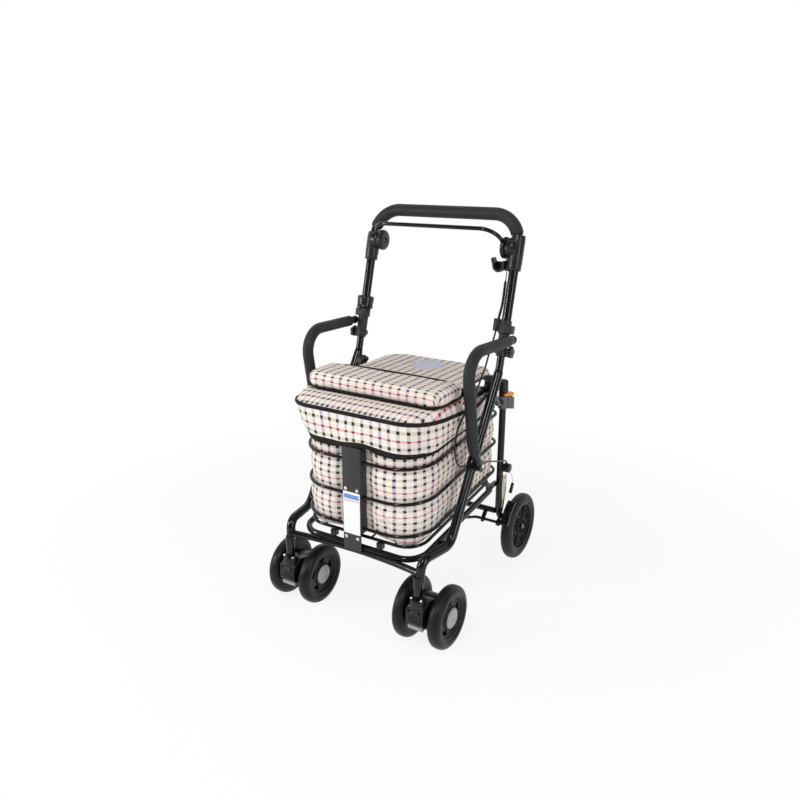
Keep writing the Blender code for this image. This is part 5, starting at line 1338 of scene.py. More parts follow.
class ROLLATOR_OT_arms(Operator):
    """Arms: bent tubes riveted to the sleeves and clamped to the side frames, with foam on them"""
    bl_idname = "rollator.arms"
    bl_label = "Arms"

    @build
    def execute(self):
        for side, word in SIDES:
            path = rounded([(side * (ARM_X + 0.0058), ARM_REAR_Y, ARM_Z),
                            (side * ARM_X, ARM_FRONT_Y, ARM_Z + 0.008), (side * ARM_X, -0.131, 0.452),
                            (side * ARM_X, slant_y(ARM_CLAMP_Z) - 0.004, ARM_CLAMP_Z)], [0.052, 0.08], 16)
            self.tube(side, word, path)
            self.foam(word, path)

    def tube(self, side, word, path):
        form = Form().tube(path, 0.0095, 28, normal=X)
        end = path[0]
        form.turned([(0, 0.011), (0.0035, 0.0106), (0.007, 0.0085), (0.0096, 0.0052), (0.0106, 0.002),
                     (0.0106, -0.0036), (0.01, -0.004), (0, -0.004)], end, Y, 36)
        form.pin(0.0055, 0, 0.0105, (side * (FRAME_X + 0.0133), 0.036, end[2]), X * side)
        centre = np.array((side * FRAME_X, slant_y(ARM_CLAMP_Z), ARM_CLAMP_Z))
        lean = unit((0, KNEE_Y - FOOT[0], KNEE_Z - FOOT[1]))
        form.turned([(0.0116, -0.015), (0.0142, -0.015), (0.0148, -0.0142), (0.0148, 0.0142),
                     (0.0142, 0.015), (0.0116, 0.015)], centre, lean, 40)
        form.block((0.022, 0.026, 0.02),
                   plane_at((side * 0.2215, centre[1] - 0.002, centre[2]), np.cross(lean, X), lean),
                   0.003, 0.0012)
        form.piece(f"arm_tube_{word}", "tube_paint", "frame", (f"arm_{word}",), "black_paint")
        bolt = Form().turned([(0, 0.0034), (0.003, 0.003), (0.0048, 0.0016), (0.0052, 0.0), (0, 0)],
                             (side * 0.2312, centre[1] - 0.002, centre[2]), X * side, 28)
        bolt.piece(f"arm_bolt_{word}", "bright_steel", "frame", slot="yellow_zinc")

    def foam(self, word, path):
        """Foam sleeve: its ends are rounded by a quarter circle."""
        core = even(trimmed(path, 0.02, 0.043), 0.006)
        run = running(core)
        edge = np.minimum(run, run[-1] - run)
        radius = 0.0135 - 0.0022 * (1 - np.clip(edge / 0.006, 0, 1)) ** 2
        Form().tube(core, radius, 40, normal=X).piece(
            f"arm_foam_{word}", "grip_foam", "frame", (f"arm_grip_{word}",), "dark_foam", 50)


# Handle

def handle_path():
    return rounded([on_upright(-1, POST_BOTTOM), on_upright(-1, HANDLE_TOP),
                    on_upright(1, HANDLE_TOP), on_upright(1, POST_BOTTOM)],
                   [HANDLE_BEND, HANDLE_BEND], 20)


class ROLLATOR_OT_handle(Operator):
    """Handle: one bent tube, foam on its bar, the housings and the squeeze bar"""
    bl_idname = "rollator.handle"
    bl_label = "Handle"

    @build
    def execute(self):
        Form().tube(handle_path(), POST_RADIUS, 36, normal=np.cross(X, UP_LEAN)).piece(
            "handle_pipe", "tube_paint", "handle", ("handle_tube",), "black_paint")
        bare = (0.902 - POST_BOTTOM) / UP_LEAN[2]
        core = even(trimmed(handle_path(), bare, bare), 0.005)
        run = np.linspace(0, 1, len(core))
        edge = np.minimum(run, 1 - run) * 0.55
        radius = 0.0155 - 0.002 * (1 - np.clip(edge / 0.006, 0, 1)) ** 2
        Form().tube(core, radius, 48, normal=np.cross(X, UP_LEAN)).piece(
            "handle_foam", "grip_foam", "handle", ("handle_grip",), "dark_foam", 50)
        for side, word in SIDES:
            self.housing(side, word)
        self.bar()

    def housing(self, side, word):
        """A shell round the post, a drum with a rounded rim towards the bar, and the cable's neck."""
        centre = on_upright(side, DRUM_Z)
        inward = -X * side
        low, high = on_upright(side, 0.82), on_upright(side, 0.889 if side < 0 else 0.9005)
        form = Form()
        length = float(np.linalg.norm(high - low))
        form.turned([(SLEEVE_BORE, 0), (0.016, 0), (0.0165, 0.0006), (0.0165, 0.012), (0.0172, 0.016),
                     (0.0172, length - 0.01), (0.0165, length - 0.004), (0.0158, length),
                     (SLEEVE_BORE, length)], low, UP_LEAN, 44)
        form.turned([(0, 0.0235), (0.0195, 0.0235), (0.0225, 0.0226), (0.0242, 0.02), (0.0245, 0.018),
                     (0.0245, 0.004), (0.0238, 0.001), (0.0205, -0.004), (0, -0.004)], centre, inward, 56)
        form.turned([(0, 0.01), (0.006, 0.01), (0.006, 0.0325), (0.0052, 0.0335), (0, 0.0335)], centre,
                    inward, 28)
        neck = on_upright(side, 0.818) + inward * 0.016
        if side > 0:
            form.turned([(0, 0), (0.0062, 0), (0.0074, 0.0012), (0.0074, 0.034), (0, 0.034)], neck,
                        UP_LEAN, 28)
        for z in (0.0075, 0.0145):
            form.turned([(0.0244, z - 0.0009), (0.02505, z - 0.0004), (0.02505, z + 0.0004),
                         (0.0244, z + 0.0009)], centre, inward, 56)
        if side > 0:
            self.hook(form, neck)
        form.piece(f"housing_{word}", "black_moulding", "handle", (f"brake_housing_{word}",),
                   "black_plastic")
        screw = Form().turned([(0, 0.0006), (0.0011, 0.0006), (0.0013, 0.0018), (0.003, 0.0014),
                               (0.0036, 0.0), (0, 0.0)], centre + inward * 0.0334, inward, 28)
        screw.piece(f"housing_screw_{word}", "dull_steel", "handle", slot="yellow_zinc")

    def hook(self, form, root):
        """An open bowl whose tip flares: two arcs closed by a slanted tip."""
        outer, inner = 0.0155, 0.01
        outline = np.concatenate([[(outer, 0.0115)], arc(
            outer, 0, -180, 24), [(-outer - 0.0022, 0.009), (-outer - 0.0045, 0.0165),
                                  (-outer - 0.0005, 0.0185), (-inner - 0.001, 0.008)],
                                  arc(inner, 180, 360, 24), [(inner, 0.0115)]])
        spot = root + np.array((-outer - 0.005, 0, 0.0125))
        form.plate(outline, 0.022, plane_at(spot, X, Z), 0.0016)
        web = np.concatenate([
            arc(outer - 0.001, 0, -180, 24), [(-outer + 0.001, 0.0085), (outer - 0.001, 0.0085)]])
        form.plate(web, 0.0026, plane_at(spot + Y * 0.0094, X, Z), 0.0006)

    def bar(self):
        hub = [on_upright(side, DRUM_Z) - X * side * BAR_HUB for side in (-1, 1)]
        start = unit(BAR_REACH) * 0.018
        path = rounded([hub[0] + start, hub[0] + BAR_REACH, hub[1] + BAR_REACH, hub[1] + start],
                       [0.043, 0.043], 18)
        form = Form().tube(path, 0.005, 24, mark=1)
        for side, centre in zip((-1, 1), hub):
            form.turned([(0.0064, 0.007), (0.014, 0.007), (0.02, 0.0062), (0.0245, 0.0042),
                         (0.026, 0.0018), (0.0262, 0.0), (0.0256, -0.004), (0.0246, -0.0056),
                         (0.0064, -0.0056)], centre, -X * side, 56)
            form.turned([(0.017, 0.0067), (0.0176, 0.0072), (0.0182, 0.0065)], centre, -X * side, 56)
        form.piece("squeeze_bar_rod", "black_moulding tube_paint", "squeeze_bar", ("brake_bar",),
                   "black_paint")


class ROLLATOR_OT_sleeves(Operator):
    """Sleeves of the posts, with the rubber ring, the cable clip and the knobs"""
    bl_idname = "rollator.sleeves"
    bl_label = "Sleeves and knobs"

    @build
    def execute(self):
        for side, word in SIDES:
            self.sleeve(side, word)
            self.knob(side, word)
        self.ring()
        self.clip()

    def sleeve(self, side, word):
        low = on_upright(side, SLEEVE_BOTTOM)
        rise = 1 / UP_LEAN[2]
        body, crown = (SLEEVE_TOP - SLEEVE_BOTTOM) * rise, (COLLAR_TOP - SLEEVE_BOTTOM) * rise
        form = Form().turned([(SLEEVE_BORE, 0), (0.0124, 0), (0.013, 0.0006), (0.013, body - 0.0015),
                              (0.014, body - 0.0004), (0.0158, body), (0.0165, body + 0.0008),
                              (0.0165, crown - 0.001), (0.0157, crown), (SLEEVE_BORE, crown)], low,
                             UP_LEAN, 44)
        seat = on_upright(side, KNOB_Z)
        form.turned([(0, -0.0165), (0.0064, -0.0165), (0.007, -0.0158), (0.007, 0.0158), (0.0064, 0.0165),
                     (0, 0.0165)], seat, X * side, 28)
        lug = on_upright(side, (SLEEVE_TOP + COLLAR_TOP) / 2) + X * side * 0.012
        form.block((0.018, 0.024, 0.0195), plane_at(lug, X, np.cross(UP_LEAN, X)), 0.004, 0.0015)
        if side > 0:
            lip = (LIP_TOP - SLEEVE_BOTTOM) * rise
            form.turned([(SLEEVE_BORE, crown - 0.002), (0.014, crown - 0.002), (0.014, lip - 0.0008),
                         (0.0132, lip), (SLEEVE_BORE, lip)], low, UP_LEAN, 40)
        form.piece(f"post_sleeve_{word}", "grey_moulding", "frame", (f"sleeve_{word}",), "grey_plastic")

    def knob(self, side, word):
        """Five lobes: the radius is a circle plus a cosine of five times the angle."""
        a = np.linspace(0, math.tau, 120, endpoint=False)
        outline = disc(0.0136 + 0.0013 * np.cos(5 * a), 120)
        axis = on_upright(side, KNOB_Z)
        centre = axis + X * side * (KNOB_X - FRAME_X)
        form = Form().plate(outline, 0.0095, plane_at(centre, Y, Z), 0.0018)
        form.turned([(0, 0.006), (0.005, 0.0058), (0.0066, 0.0048), (0.0066, 0.0), (0, 0)], centre,
                    X * side, 32)
        form.pin(0.0033, 0.0118, KNOB_X - FRAME_X, axis, X * side)
        form.piece(f"knob_{word}", "black_moulding", f"knob_{word}", (f"height_knob_{word}",),
                   "black_plastic")

    def ring(self):
        low = on_upright(-1, COLLAR_TOP + 0.0003)
        height = (RING_TOP - COLLAR_TOP - 0.0003) / UP_LEAN[2]
        profile = [(SLEEVE_BORE, height), (0.017, height), (0.019, height * 0.985),
                   (0.0212, height * 0.93), (0.0219, height * 0.85), (0.0215, height * 0.6),
                   (0.0206, height * 0.26), (0.0212, height * 0.14), (0.0218, height * 0.08),
                   (0.0204, 0.0), (SLEEVE_BORE, 0)]
        form = Form().turned(profile, low, UP_LEAN, 56)
        form.piece("post_ring", "black_moulding", "frame", ("lock_ring",), "black_plastic")

    def clip(self):
        spot = on_upright(1, 0.6935) - X * 0.0215
        form = Form().block((0.015, 0.02, 0.03), plane_at(spot, X, np.cross(UP_LEAN, X)), 0.003, 0.0015)
        form.piece("clip_block", "black_moulding", "frame", ("cable_clip",), "black_plastic")


# Brake

CABLE_ROUTE = [
    (0.1885, 0.0925, 0.816), (0.1885, 0.0875, 0.8), (0.1895, 0.0805, 0.778),
    (0.1893, 0.0715, 0.742), (0.186, 0.063, 0.712), (0.1835, 0.051, 0.676),
    (0.187, 0.015, 0.636), (0.19, -0.01, 0.607), (0.19, -0.03, 0.585),
    (0.194, -0.06, 0.563), (0.201, -0.134, 0.523), (0.203, -0.169, 0.496),
    (0.203, -0.179, 0.46), (0.201, -0.168, 0.426), (0.195, -0.142, 0.402),
    (0.187, -0.106, 0.386), (0.186, -0.04, 0.37), (0.184, 0.04, 0.348),
    (0.18, 0.11, 0.324), (0.178, 0.15, 0.312), (0.178, 0.1638, 0.2994),
]


class ROLLATOR_OT_brake(Operator):
    """Brake: cable, its guide on the leg, and the shaft with the shoes and the pull arm"""
    bl_idname = "rollator.brake"
    bl_label = "Brake"

    @build
    def execute(self):
        self.cable()
        self.guide()
        self.shaft()

    def cable(self):
        """A bare wire out of the housing, then its cover."""
        path = even(spline(CABLE_ROUTE, steps=12), 0.004)
        radius = np.interp(
            running(path), [0.0, 0.02, 0.022, 0.13, 0.145], [0.0012, 0.0012, 0.0032, 0.0032, 0.0022])
        made = Form().tube(path, radius, 16, normal=X).piece(
            "cable_cover", "black_moulding", None, ("brake_cable",), "black_plastic")
        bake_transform(made)

    def guide(self):
        side = LEG_X + LEG_RADIUS + 0.0003
        y, z = 0.166, 0.286
        form = Form().turned([(0, 0.018), (0.0092, 0.018), (0.0108, 0.0176), (0.012, 0.0166),
                              (0.0125, 0.015), (0.0125, 0.0006), (SLEEVE_BORE, 0), (0, 0)], (side, y, z),
                             X, 40)
        form.turned([(0, 0.0186), (0.003, 0.0184), (0.004, 0.0176), (0, 0.017)], (side, y, z), X, 28)
        x = side + 0.01
        form.tube(spline([(x, y + 0.01, z - 0.005), (x, 0.19, 0.262), (x, 0.201, 0.243),
                          (x, 0.205, 0.226)]), 0.0013, 12, normal=X, mark=1)
        along = unit((0, 0.19 - 0.205, 0.203 - 0.228))
        ribs = [(0.0036 + 0.0011 * k / 10 + 0.0005 * (k % 2), 0.0028 * k) for k in range(11)]
        form.turned([(0, 0.0), *ribs, (0, 0.0292)], (x, 0.205, 0.228), along, 24)
        form.piece("cable_guide", "black_moulding bright_steel", "frame", ("cable_block",),
                   "black_plastic")

    def shaft(self):
        """The bowed rod; a shoe is an arc of 40 degrees about the wheel; the arm is a flat blade that
        narrows downwards."""
        end = REAR_WHEEL_X + 0.01
        y, z = BRAKE_AXIS
        path = rounded([(-end, y, z), (-0.105, y, z), (-0.05, y, 0.117), (0.05, y, 0.117), (0.105, y, z),
                        (end, y, z)], [0.03, 0.05, 0.05, 0.03], 10)
        form = Form().tube(path, 0.004, 22, normal=Y)
        inner = REAR_RADIUS + 0.005
        shoe = np.concatenate([arc(inner, 118, 158, 20, AXLE), arc(inner + 0.009, 158, 118, 20, AXLE)])
        for side in (-1, 1):
            form.plate(shoe, 0.022, side_plane(side * REAR_WHEEL_X), 0.0012)
        form.collar(0.0042, 0.0094, -0.004, 0.004, (PULL_ARM_X, y, z), X, 32)
        form.plate([(y - 0.005, z + 0.006), (y + 0.005, z + 0.002), (0.163, 0.168), (0.153, 0.172)], 0.004,
                   side_plane(PULL_ARM_X), 0.0008)
        form.piece("brake_shaft_rod", "tube_paint", "brake_shaft", ("brake_yoke",), "black_paint")
        spine = spline([(0.157, 0.16), (0.165, 0.19), (0.17, 0.215), (0.171, 0.24), (0.169, 0.264)],
                       steps=6)
        half = np.linspace(0.0052, 0.0098, len(spine))
        blade = np.concatenate([spine - np.outer(half, (1, 0)), (spine + np.outer(half, (1, 0)))[::-1]])
        arm = Form().plate(blade, 0.0024, side_plane(PULL_ARM_X), 0.0006)
        arm.turned([(0, 0.0032), (0.003, 0.003), (0.0042, 0.0022), (0.0042, 0.0), (0, 0)],
                   (0.172, 0.1716, 0.254), X, 24)
        arm.piece("brake_pull_arm", "yellow_zinc_plate", "brake_shaft", slot="yellow_zinc")


class ROLLATOR_OT_catch(Operator):
    """The grey clip on the right leg and the orange lever above it"""
    bl_idname = "rollator.catch"
    bl_label = "Clip and lever"

    @build
    def execute(self):
        outward = np.array((math.cos(CATCH_TURN), math.sin(CATCH_TURN), 0.0))
        sideways = np.cross(Z, outward)
        leg = np.array((LEG_X, LEG_Y - 0.0004, 0.0))

        clip = Form()
        clip.collar(LEG_BORE, 0.0125, 0.452, 0.485, leg, Z, 40, 1)
        jaw = outline_of([(-0.007, -0.0085), (0.0085, -0.012), (0.0106, -0.0092), (0.003, 0.0),
                          (0.0106, 0.0092), (0.0085, 0.012), (-0.007, 0.0085)], 0.0008, 4)
        clip.plate(jaw, 0.0315, plane_at(leg + outward * 0.0172 + Z * 0.468, outward, sideways), 0.001,
                   mark=1)
        clip.piece("leg_clip", "black_moulding clip_moulding", "frame", ("stick_catch",), "grey_plastic")
        lever = Form()
        lever.collar(LEG_BORE, 0.012, 0.4856, 0.495, leg, Z, 40)
        tab = outline_of([(-0.014, -0.0128), (-0.003, -0.0128), (0.0132, -0.0048), (0.0132, 0.0048),
                          (-0.003, 0.0128), (-0.014, 0.0128)], 0.002, 4)
        lever.plate(tab, 0.008, plane_at(leg + outward * 0.014 + Z * 0.4903, outward, sideways), 0.0016,
                    mark=1)
        lever.piece("orange_lever", "black_moulding orange_moulding", "latch", ("latch_lever",),
                    "orange_plastic")


# Wheels

def pierced(form, profile, front, back, count, half_inner, half_outer, centre, axis, steps=16):
    """A closed profile turned about an axis, pierced between spokes. Front and back name the two
    profile points of each face between which the openings lie. Steps run evenly across an opening
    and across a spoke, and widen with the radius, so that an opening's sides lie on grid lines."""
    profile = np.asarray(profile, float)
    radii = profile[:, 0]
    pitch = math.tau / count
    inner, outer = radii[front[0]], radii[front[1]]
    half = np.interp(radii, [inner, outer], [half_inner, half_outer])
    share = np.linspace(-1, 1, steps + 1)[:-1]
    across = half[:, None] * share
    spoke = half[:, None] + (pitch - 2 * half[:, None]) * (share + 1) / 2
    sector = np.concatenate([across, spoke], axis=1)
    angle = (sector[:, None, :] + (np.arange(count) * pitch)[None, :, None]).reshape(len(radii), -1)
    hole = np.tile(np.concatenate([np.ones(steps, bool), np.zeros(steps, bool)]), count)
    hide = np.zeros(angle.shape, bool)
    hide[min(front):max(front)] = hole
    hide[min(back):max(back)] = hole
    form.turned(profile, centre, axis, angle.shape[1], warp=angle, hide=hide)
    grid = form.points[-1].reshape(*angle.shape, 3)
    for k in range(count):
        span = np.arange(k * 2 * steps, k * 2 * steps + steps + 1) % angle.shape[1]
        for here, there in ((front[0], back[0]), (front[1], back[1])):
            form.surface(np.stack([grid[here, span], grid[there, span]]), (False, False))
        for column in (span[0], span[-1]):
            form.surface(np.stack([grid[list(front), column], grid[list(back), column]]), (False, False))


class ROLLATOR_OT_castors(Operator):
    """Castors: forks with pedals, pierced discs with pale caps, and round tyres"""
    bl_idname = "rollator.castors"
    bl_label = "Castors"

    @build
    def execute(self):
        for side, word in SIDES:
            stem = np.array((side * STEM[0], STEM[1], 0.0))
            axle = stem + np.array((0, CASTOR_TRAIL, CASTOR_RADIUS))
            self.fork(word, stem, axle)
            self.pedal(word, stem)
            for spot, way in (("outer", side), ("inner", -side)):
                centre = axle + X * way * CASTOR_SPACING / 2
                self.wheel(f"{spot}_{word}", centre, X * way)

    def fork(self, word, stem, axle):
        """The moulded body under the stem, its cheeks, the pin and two cover discs on the axle."""
        outline = outline_of([(-0.015, 0.123), (0.016, 0.125), (0.034, 0.122), (0.062, 0.112),
                              (0.076, 0.088), (0.074, 0.06), (0.056, 0.044), (0.03, 0.048), (0.01, 0.061),
                              (-0.004, 0.063), (-0.011, 0.078), (-0.0125, 0.102), (-0.016, 0.112)],
                             [0.007, 0.008, 0.02, 0.02, 0.014, 0.014, 0.014, 0.014, 0.008, 0.006, 0.012,
                              0.012, 0.008])
        form = Form().plate(outline, 0.04, side_plane(stem[0], stem[1], 0), 0.005)
        cheek = outline_of([(-0.0185, 0.078), (-0.0195, 0.101), (-0.016, 0.116), (0.002, 0.1225),
                            (0.018, 0.119), (0.018, 0.074), (-0.005, 0.062)],
                           [0.006, 0.012, 0.01, 0.01, 0.01, 0.008, 0.008])
        for way in (-1, 1):
            form.plate(cheek, 0.0075, side_plane(stem[0] + way * 0.0185, stem[1], 0), 0.003)
        form.tube([stem + Z * 0.13, stem + Z * 0.172], 0.005, 24, normal=X)
        form.turned([(0, 0.117), (0.019, 0.117), (0.0192, 0.119), (0.018, 0.1345), (0.0172, 0.1362),
                     (0.015, 0.137), (0, 0.137)], stem, Z, 44)
        form.turned([(0, -0.0288), (0.0405, -0.0288), (0.043, -0.0272), (0.044, -0.024), (0.044, 0.024),
                     (0.043, 0.0272), (0.0405, 0.0288), (0, 0.0288)], axle, X, 72)
        form.pin(0.005, -0.0585, 0.0585, axle, X, 28)
        form.piece(f"castor_body_{word}", "black_moulding", f"castor_{word}", (f"castor_fork_{word}",),
                   "black_plastic")
        bright = Form()
        for way in (-0.0155, 0.0155):
            bright.turned([(0, 0.0034), (0.0014, 0.0031), (0.0027, 0.0018), (0.0031, 0.0), (0, 0)],
                          stem + np.array((way * 0.82, -0.0085, 0.1368)), (0, -0.6, 1), 28)
        bright.piece(f"castor_rivets_{word}", "bright_steel", f"castor_{word}", slot="yellow_zinc")
        lip = Form().block((0.04, 0.011, 0.008), plane_at(
            stem + np.array((0, -0.009, 0.0655)), X, unit((0, -0.25, 1))), 0.003, 0.002)
        lip.piece(f"castor_lip_{word}", "lip_moulding", f"castor_{word}", slot="grey_plastic")

    def pedal(self, word, stem):
        """A round-shouldered tread with ridges across it, hinged under the stem."""
        tilt = unit((0, 0.16, 1))
        centre = stem + np.array((0, -0.0175, 0.0945))
        outline = outline_of([(-0.015, -0.015), (0.015, -0.015), (0.016, 0.008), (0.008, 0.0185),
                              (-0.008, 0.0185), (-0.016, 0.008)], [0.003, 0.003, 0.008, 0.007, 0.007,
                                                                   0.008])
        form = Form().plate(outline, 0.007, plane_at(centre, X, tilt), 0.0018)
        for k in range(5):
            form.block((0.0235, 0.0017, 0.003), plane_at(
                centre + tilt * (0.0037 * k - 0.0082) + Y * -0.0042, X, tilt), 0.0006, 0.0005)
        form.pin(0.0034, -0.0125, 0.0125, stem + np.array((0, -0.012, 0.115)), X)
        form.piece(f"castor_tread_plate_{word}", "grey_moulding", f"pedal_{word}",
                   (f"castor_pedal_{word}",), "grey_plastic")

    def wheel(self, word, centre, outward):
        """The disc with five openings between an inner ring and the rim, its cap and its tyre."""
        profile = [(0.0055, 0.012), (0.0255, 0.012), (0.027, 0.0106), (0.028, 0.007), (0.029, 0.0058),
                   (0.03, 0.0055), (0.0415, 0.0055), (0.0448, 0.0055), (0.0462, 0.0066), (0.048, 0.0126),
                   (0.049, 0.013), (0.0525, 0.013), (0.0525, -0.013), (0.0465, -0.013), (0.0455, -0.012),
                   (0.0455, 0.001), (0.0415, 0.001), (0.03, 0.001), (0.016, 0.001), (0.015, 0.0),
                   (0.015, -0.0132), (0.0142, -0.014), (0.0055, -0.014)]
        form = Form()
        pierced(form, profile, (5, 6), (17, 16), 5, math.radians(11.0), math.radians(17), centre, outward,
                12)
        form.turned([(0.0148, -0.0106), (0.0458, -0.0106), (0.0458, -0.0118), (0.0148, -0.0118)], centre,
                    outward, 64)
        form.piece(f"castor_disc_{word}", "wheel_moulding", f"castor_wheel_{word}",
                   (f"castor_hub_{word}",), "hub_plastic")
        cap = Form().turned([(0, 0.0148), (0.0056, 0.0149), (0.0066, 0.0164), (0.009, 0.0164),
                             (0.0102, 0.0152), (0.016, 0.0148), (0.0172, 0.0157), (0.0194, 0.0155),
                             (0.0218, 0.0142), (0.0234, 0.013), (0.024, 0.012), (0.024, 0.0116),
                             (0, 0.0116)], centre, outward, 60)
        cap.piece(f"castor_cap_{word}", "wheel_cap", f"castor_wheel_{word}", slot="hub_plastic")
        tyre(f"castor_tread_{word}", centre, outward, 0.0528, CASTOR_RADIUS, 0.033, "castor_rubber",
             f"castor_wheel_{word}", f"castor_tyre_{word}", "tyre_rubber")


def tyre(name, centre, outward, rim, radius, width, rubber, body, node, slot):
    """A round tyre: half of a superellipse over the rim, a step on each side wall and a flat seat."""
    a = np.linspace(0, math.pi, 41)
    power = 2 / 2.5
    depth = radius - rim
    across = -np.sign(np.cos(a)) * np.abs(np.cos(a)) ** power * width / 2
    out = rim + depth * 0.22 + depth * 0.78 * np.abs(np.sin(a)) ** power
    step = [(rim + depth * 0.1, 0.93), (rim, 0.8)]
    profile = ([(r, -w * width / 2) for r, w in step[::-1]] + list(zip(out, across))
               + [(r, w * width / 2) for r, w in step])
    form = Form().turned(profile, centre, outward, 96)
    form.piece(name, rubber, body, (node,), slot, 35)


class ROLLATOR_OT_rear_wheels(Operator):
    """Rear wheels: discs with twelve windows, a deep boss with its nut and wide tyres"""
    bl_idname = "rollator.rear_wheels"
    bl_label = "Rear wheels"

    @build
    def execute(self):
        profile = [(0.0085, 0.004), (0.018, 0.004), (0.0196, 0.0055), (0.0205, 0.0118), (0.0216, 0.0125),
                   (0.0226, 0.011), (0.0238, 0.0048), (0.0258, 0.0045), (0.03, 0.0044), (0.0546, 0.0036),
                   (0.0585, 0.0035), (0.0598, 0.0044), (0.0616, 0.0118), (0.0626, 0.0125), (0.066, 0.0125),
                   (0.066, -0.0125), (0.062, -0.0125), (0.0612, -0.0118), (0.06, -0.0015),
                   (0.0546, -0.0015), (0.03, -0.0015), (0.0165, -0.0015), (0.016, -0.0025),
                   (0.016, -0.0148), (0.0152, -0.0155), (0.005, -0.0155), (0.005, 0.004)]
        for side, word in SIDES:
            centre = np.array((side * REAR_WHEEL_X, *AXLE))
            form = Form()
            pierced(form, profile, (8, 9), (20, 19), 6, math.radians(13), math.radians(22), centre,
                    X * side, 12)
            self.ribs(form, centre, X * side)
            form.piece(f"rear_disc_{word}", "wheel_moulding", f"rear_wheel_{word}", (f"rear_hub_{word}",),
                       "hub_plastic")
            tyre(f"rear_tread_{word}", centre, X * side, 0.0663, REAR_RADIUS, 0.031, "rear_rubber",
                 f"rear_wheel_{word}", f"rear_tyre_{word}", "grey_rubber")

    def ribs(self, form, centre, outward):
        """A raised rib down the middle of each spoke, and a bar that halves each opening."""
        first = unit(np.cross(outward, Y))
        second = np.cross(outward, first)
        for k in range(12):
            a = math.pi * k / 6
            way = first * math.cos(a) + second * math.sin(a)
            width, depth = (0.0028, 0.0044) if k % 2 else (0.0042, 0.006)
            form.block((0.035, width, depth), plane_at(
                centre + way * 0.042 + outward * (0.006 if k % 2 else 0.002), way, np.cross(outward, way)),
                       0.001, 0.0006)


# Stage

LAMPS = {
    "key": ((-1.85, -2.05, 1.12), (0.26, 0.9)),
    "front": ((0.08, -2.00, 2.45), (0.26, 0.9)),
    "fill": ((2.4, -0.9, 1.3), (0.35, 1.8)),
    "top": ((0.2, 0.3, 2.9), (1.8, 1.8)),
}
LAMP_AIM = Vector((0, 0, 0.45))
FLOOR_REACH = 12.0
SHADOW_REACH, WHITE_FROM = 0.55, 1.5


def aimed(spot, ahead):
    """The place of a camera or lamp that looks along a direction."""
    return Matrix.Translation(spot) @ ahead.to_track_quat("-Z", "Y").to_matrix().to_4x4()


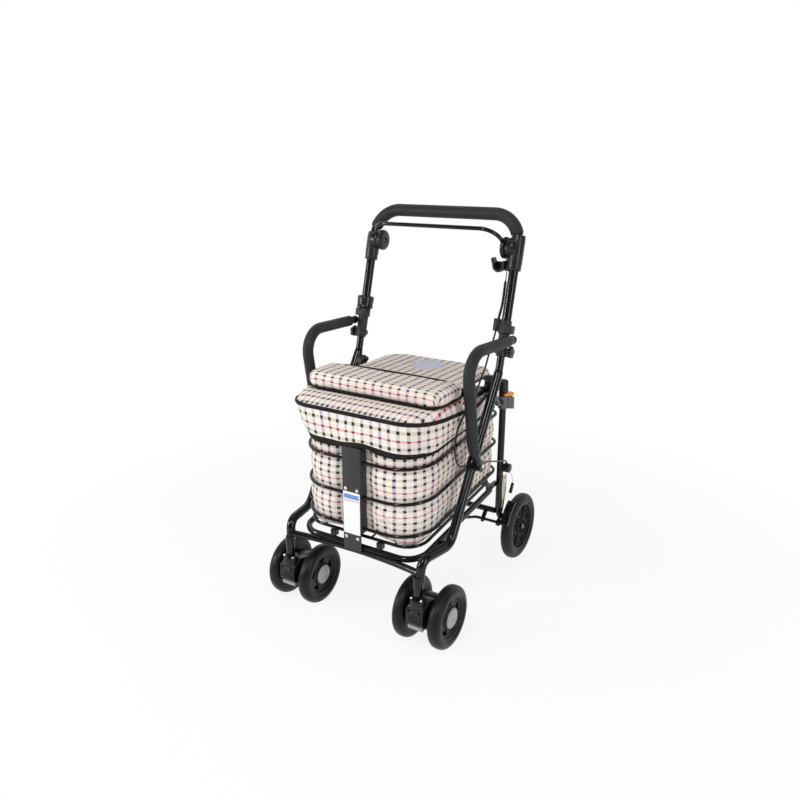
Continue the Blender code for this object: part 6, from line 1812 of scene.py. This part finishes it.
class ROLLATOR_OT_stage(Operator):
    """Pale floor, soft studio light and the camera"""
    bl_idname = "rollator.stage"
    bl_label = "Stage"

    @build
    def execute(self):
        stage = bpy.context.scene.rollator_stage
        self.camera(stage)
        self.floor(stage)
        self.world(stage)
        for name, (spot, size) in LAMPS.items():
            self.lamp(name, getattr(stage, name), spot, size)
        bpy.context.scene.view_settings.view_transform = "Standard"

    def camera(self, stage):
        data = bpy.data.cameras.new("camera")
        data.lens = stage.lens
        data.sensor_width = 36.0
        data.clip_start = 0.05
        made = add("camera", data)
        az, el = stage.azimuth, stage.elevation
        ahead = Vector((-math.sin(az) * math.cos(el), math.cos(az) * math.cos(el), -math.sin(el)))
        made.matrix_world = aimed(stage.camera, ahead) @ Matrix.Rotation(stage.roll, 4, "Z")
        bpy.context.scene.camera = made

    def floor(self, stage):
        """A wide floor: lit near the object, where it keeps the shadow, and plain white further off.
        Only rays to the camera, mirrored or let through see the white; the light on it is the lamps'."""
        mesh = bpy.data.meshes.new("floor")
        corners = FLOOR_REACH * np.array([(-1, -1, 0), (1, -1, 0), (1, 1, 0), (-1, 1, 0)])
        mesh.from_pydata(corners, [], [(0, 1, 2, 3)])
        shade = Shade("floor_white", tuple(stage.floor), 0.9, Specular_IOR_Level=0.0)
        away = shade.node("ShaderNodeVectorMath", {"operation": "LENGTH"}, {0: shade.place()}, "Value")
        share = away.ramp(SHADOW_REACH, WHITE_FROM, stage.floor_white, 1.0) * shade.seen()
        lit = Value(shade, shade.shader.outputs[0])
        white = shade.node("ShaderNodeEmission")
        shade.feed(shade.nodes["Material Output"].inputs[0], shade.blend(share, lit, white))
        mesh.materials.append(shade.material)
        add("floor", mesh)

    def world(self, stage):
        """White where it is seen, white in mirrors from the backdrop round to the sides and dim behind
        the camera, softer as light."""
        world = bpy.data.worlds.new("studio")
        bpy.context.scene.world = world
        world.use_nodes = True
        tree = Nodes(world.node_tree)
        tree.nodes.remove(tree.nodes["Background"])
        behind = (math.sin(stage.azimuth), -math.cos(stage.azimuth), 0.25)
        way = tree.node("ShaderNodeTexCoord", output="Generated")
        facing = tree.node(
            "ShaderNodeVectorMath", {"operation": "DOT_PRODUCT"}, {0: way, 1: behind}, "Value")
        direct = tree.node("ShaderNodeLightPath", output="Is Camera Ray")
        bright = facing.ramp(-0.3, 0.35, 1.0, stage.dim).math("MAXIMUM", direct)
        soft, white = (
            tree.node("ShaderNodeBackground", None, {"Color": (1, 1, 1, 1), "Strength": s})
            for s in (stage.world, bright))
        tree.feed(tree.nodes["World Output"].inputs[0], tree.blend(tree.seen(), soft, white))

    def lamp(self, name, power, spot, size):
        """A panel of light turned to the middle of the object."""
        data = bpy.data.lights.new(name, "AREA")
        data.shape = "RECTANGLE"
        data.size, data.size_y = size
        data.energy = power
        add(name, data).matrix_world = aimed(spot, LAMP_AIM - Vector(spot))


OPERATORS = (ROLLATOR_OT_stage, ROLLATOR_OT_side_frames, ROLLATOR_OT_cross_tubes,
             ROLLATOR_OT_basket, ROLLATOR_OT_bag, ROLLATOR_OT_seat, ROLLATOR_OT_arms,
             ROLLATOR_OT_handle, ROLLATOR_OT_sleeves, ROLLATOR_OT_brake, ROLLATOR_OT_catch,
             ROLLATOR_OT_castors, ROLLATOR_OT_rear_wheels)
GROUPS = {"rollator_paint": RollatorPaint, "rollator_cloth": RollatorCloth,
          "rollator_stuffing": RollatorStuffing, "rollator_stage": RollatorStage}


class ROLLATOR_PT_panel(Panel):
    """Lists the rollator's pieces and their settings"""
    bl_label = "Shopping rollator"
    bl_idname = "ROLLATOR_PT_panel"
    bl_space_type = "VIEW_3D"
    bl_region_type = "UI"
    bl_category = "Rollator"

    def draw(self, context):
        for operator in OPERATORS:
            self.layout.operator(operator.bl_idname)
        for name, group in GROUPS.items():
            box = self.layout.box()
            for key in group.__annotations__:
                box.prop(getattr(context.scene, name), key)


def register():
    for cls in (*GROUPS.values(), *OPERATORS, ROLLATOR_PT_panel):
        bpy.utils.register_class(cls)
    for name, group in GROUPS.items():
        setattr(bpy.types.Scene, name, bpy.props.PointerProperty(type=group))


def unregister():
    for name in GROUPS:
        delattr(bpy.types.Scene, name)
    for cls in (ROLLATOR_PT_panel, *reversed(OPERATORS), *reversed(list(GROUPS.values()))):
        bpy.utils.unregister_class(cls)


def main():
    register()
    for operator in OPERATORS:
        group, name = operator.bl_idname.split(".")
        getattr(getattr(bpy.ops, group), name)()


if __name__ == "__main__":
    main()
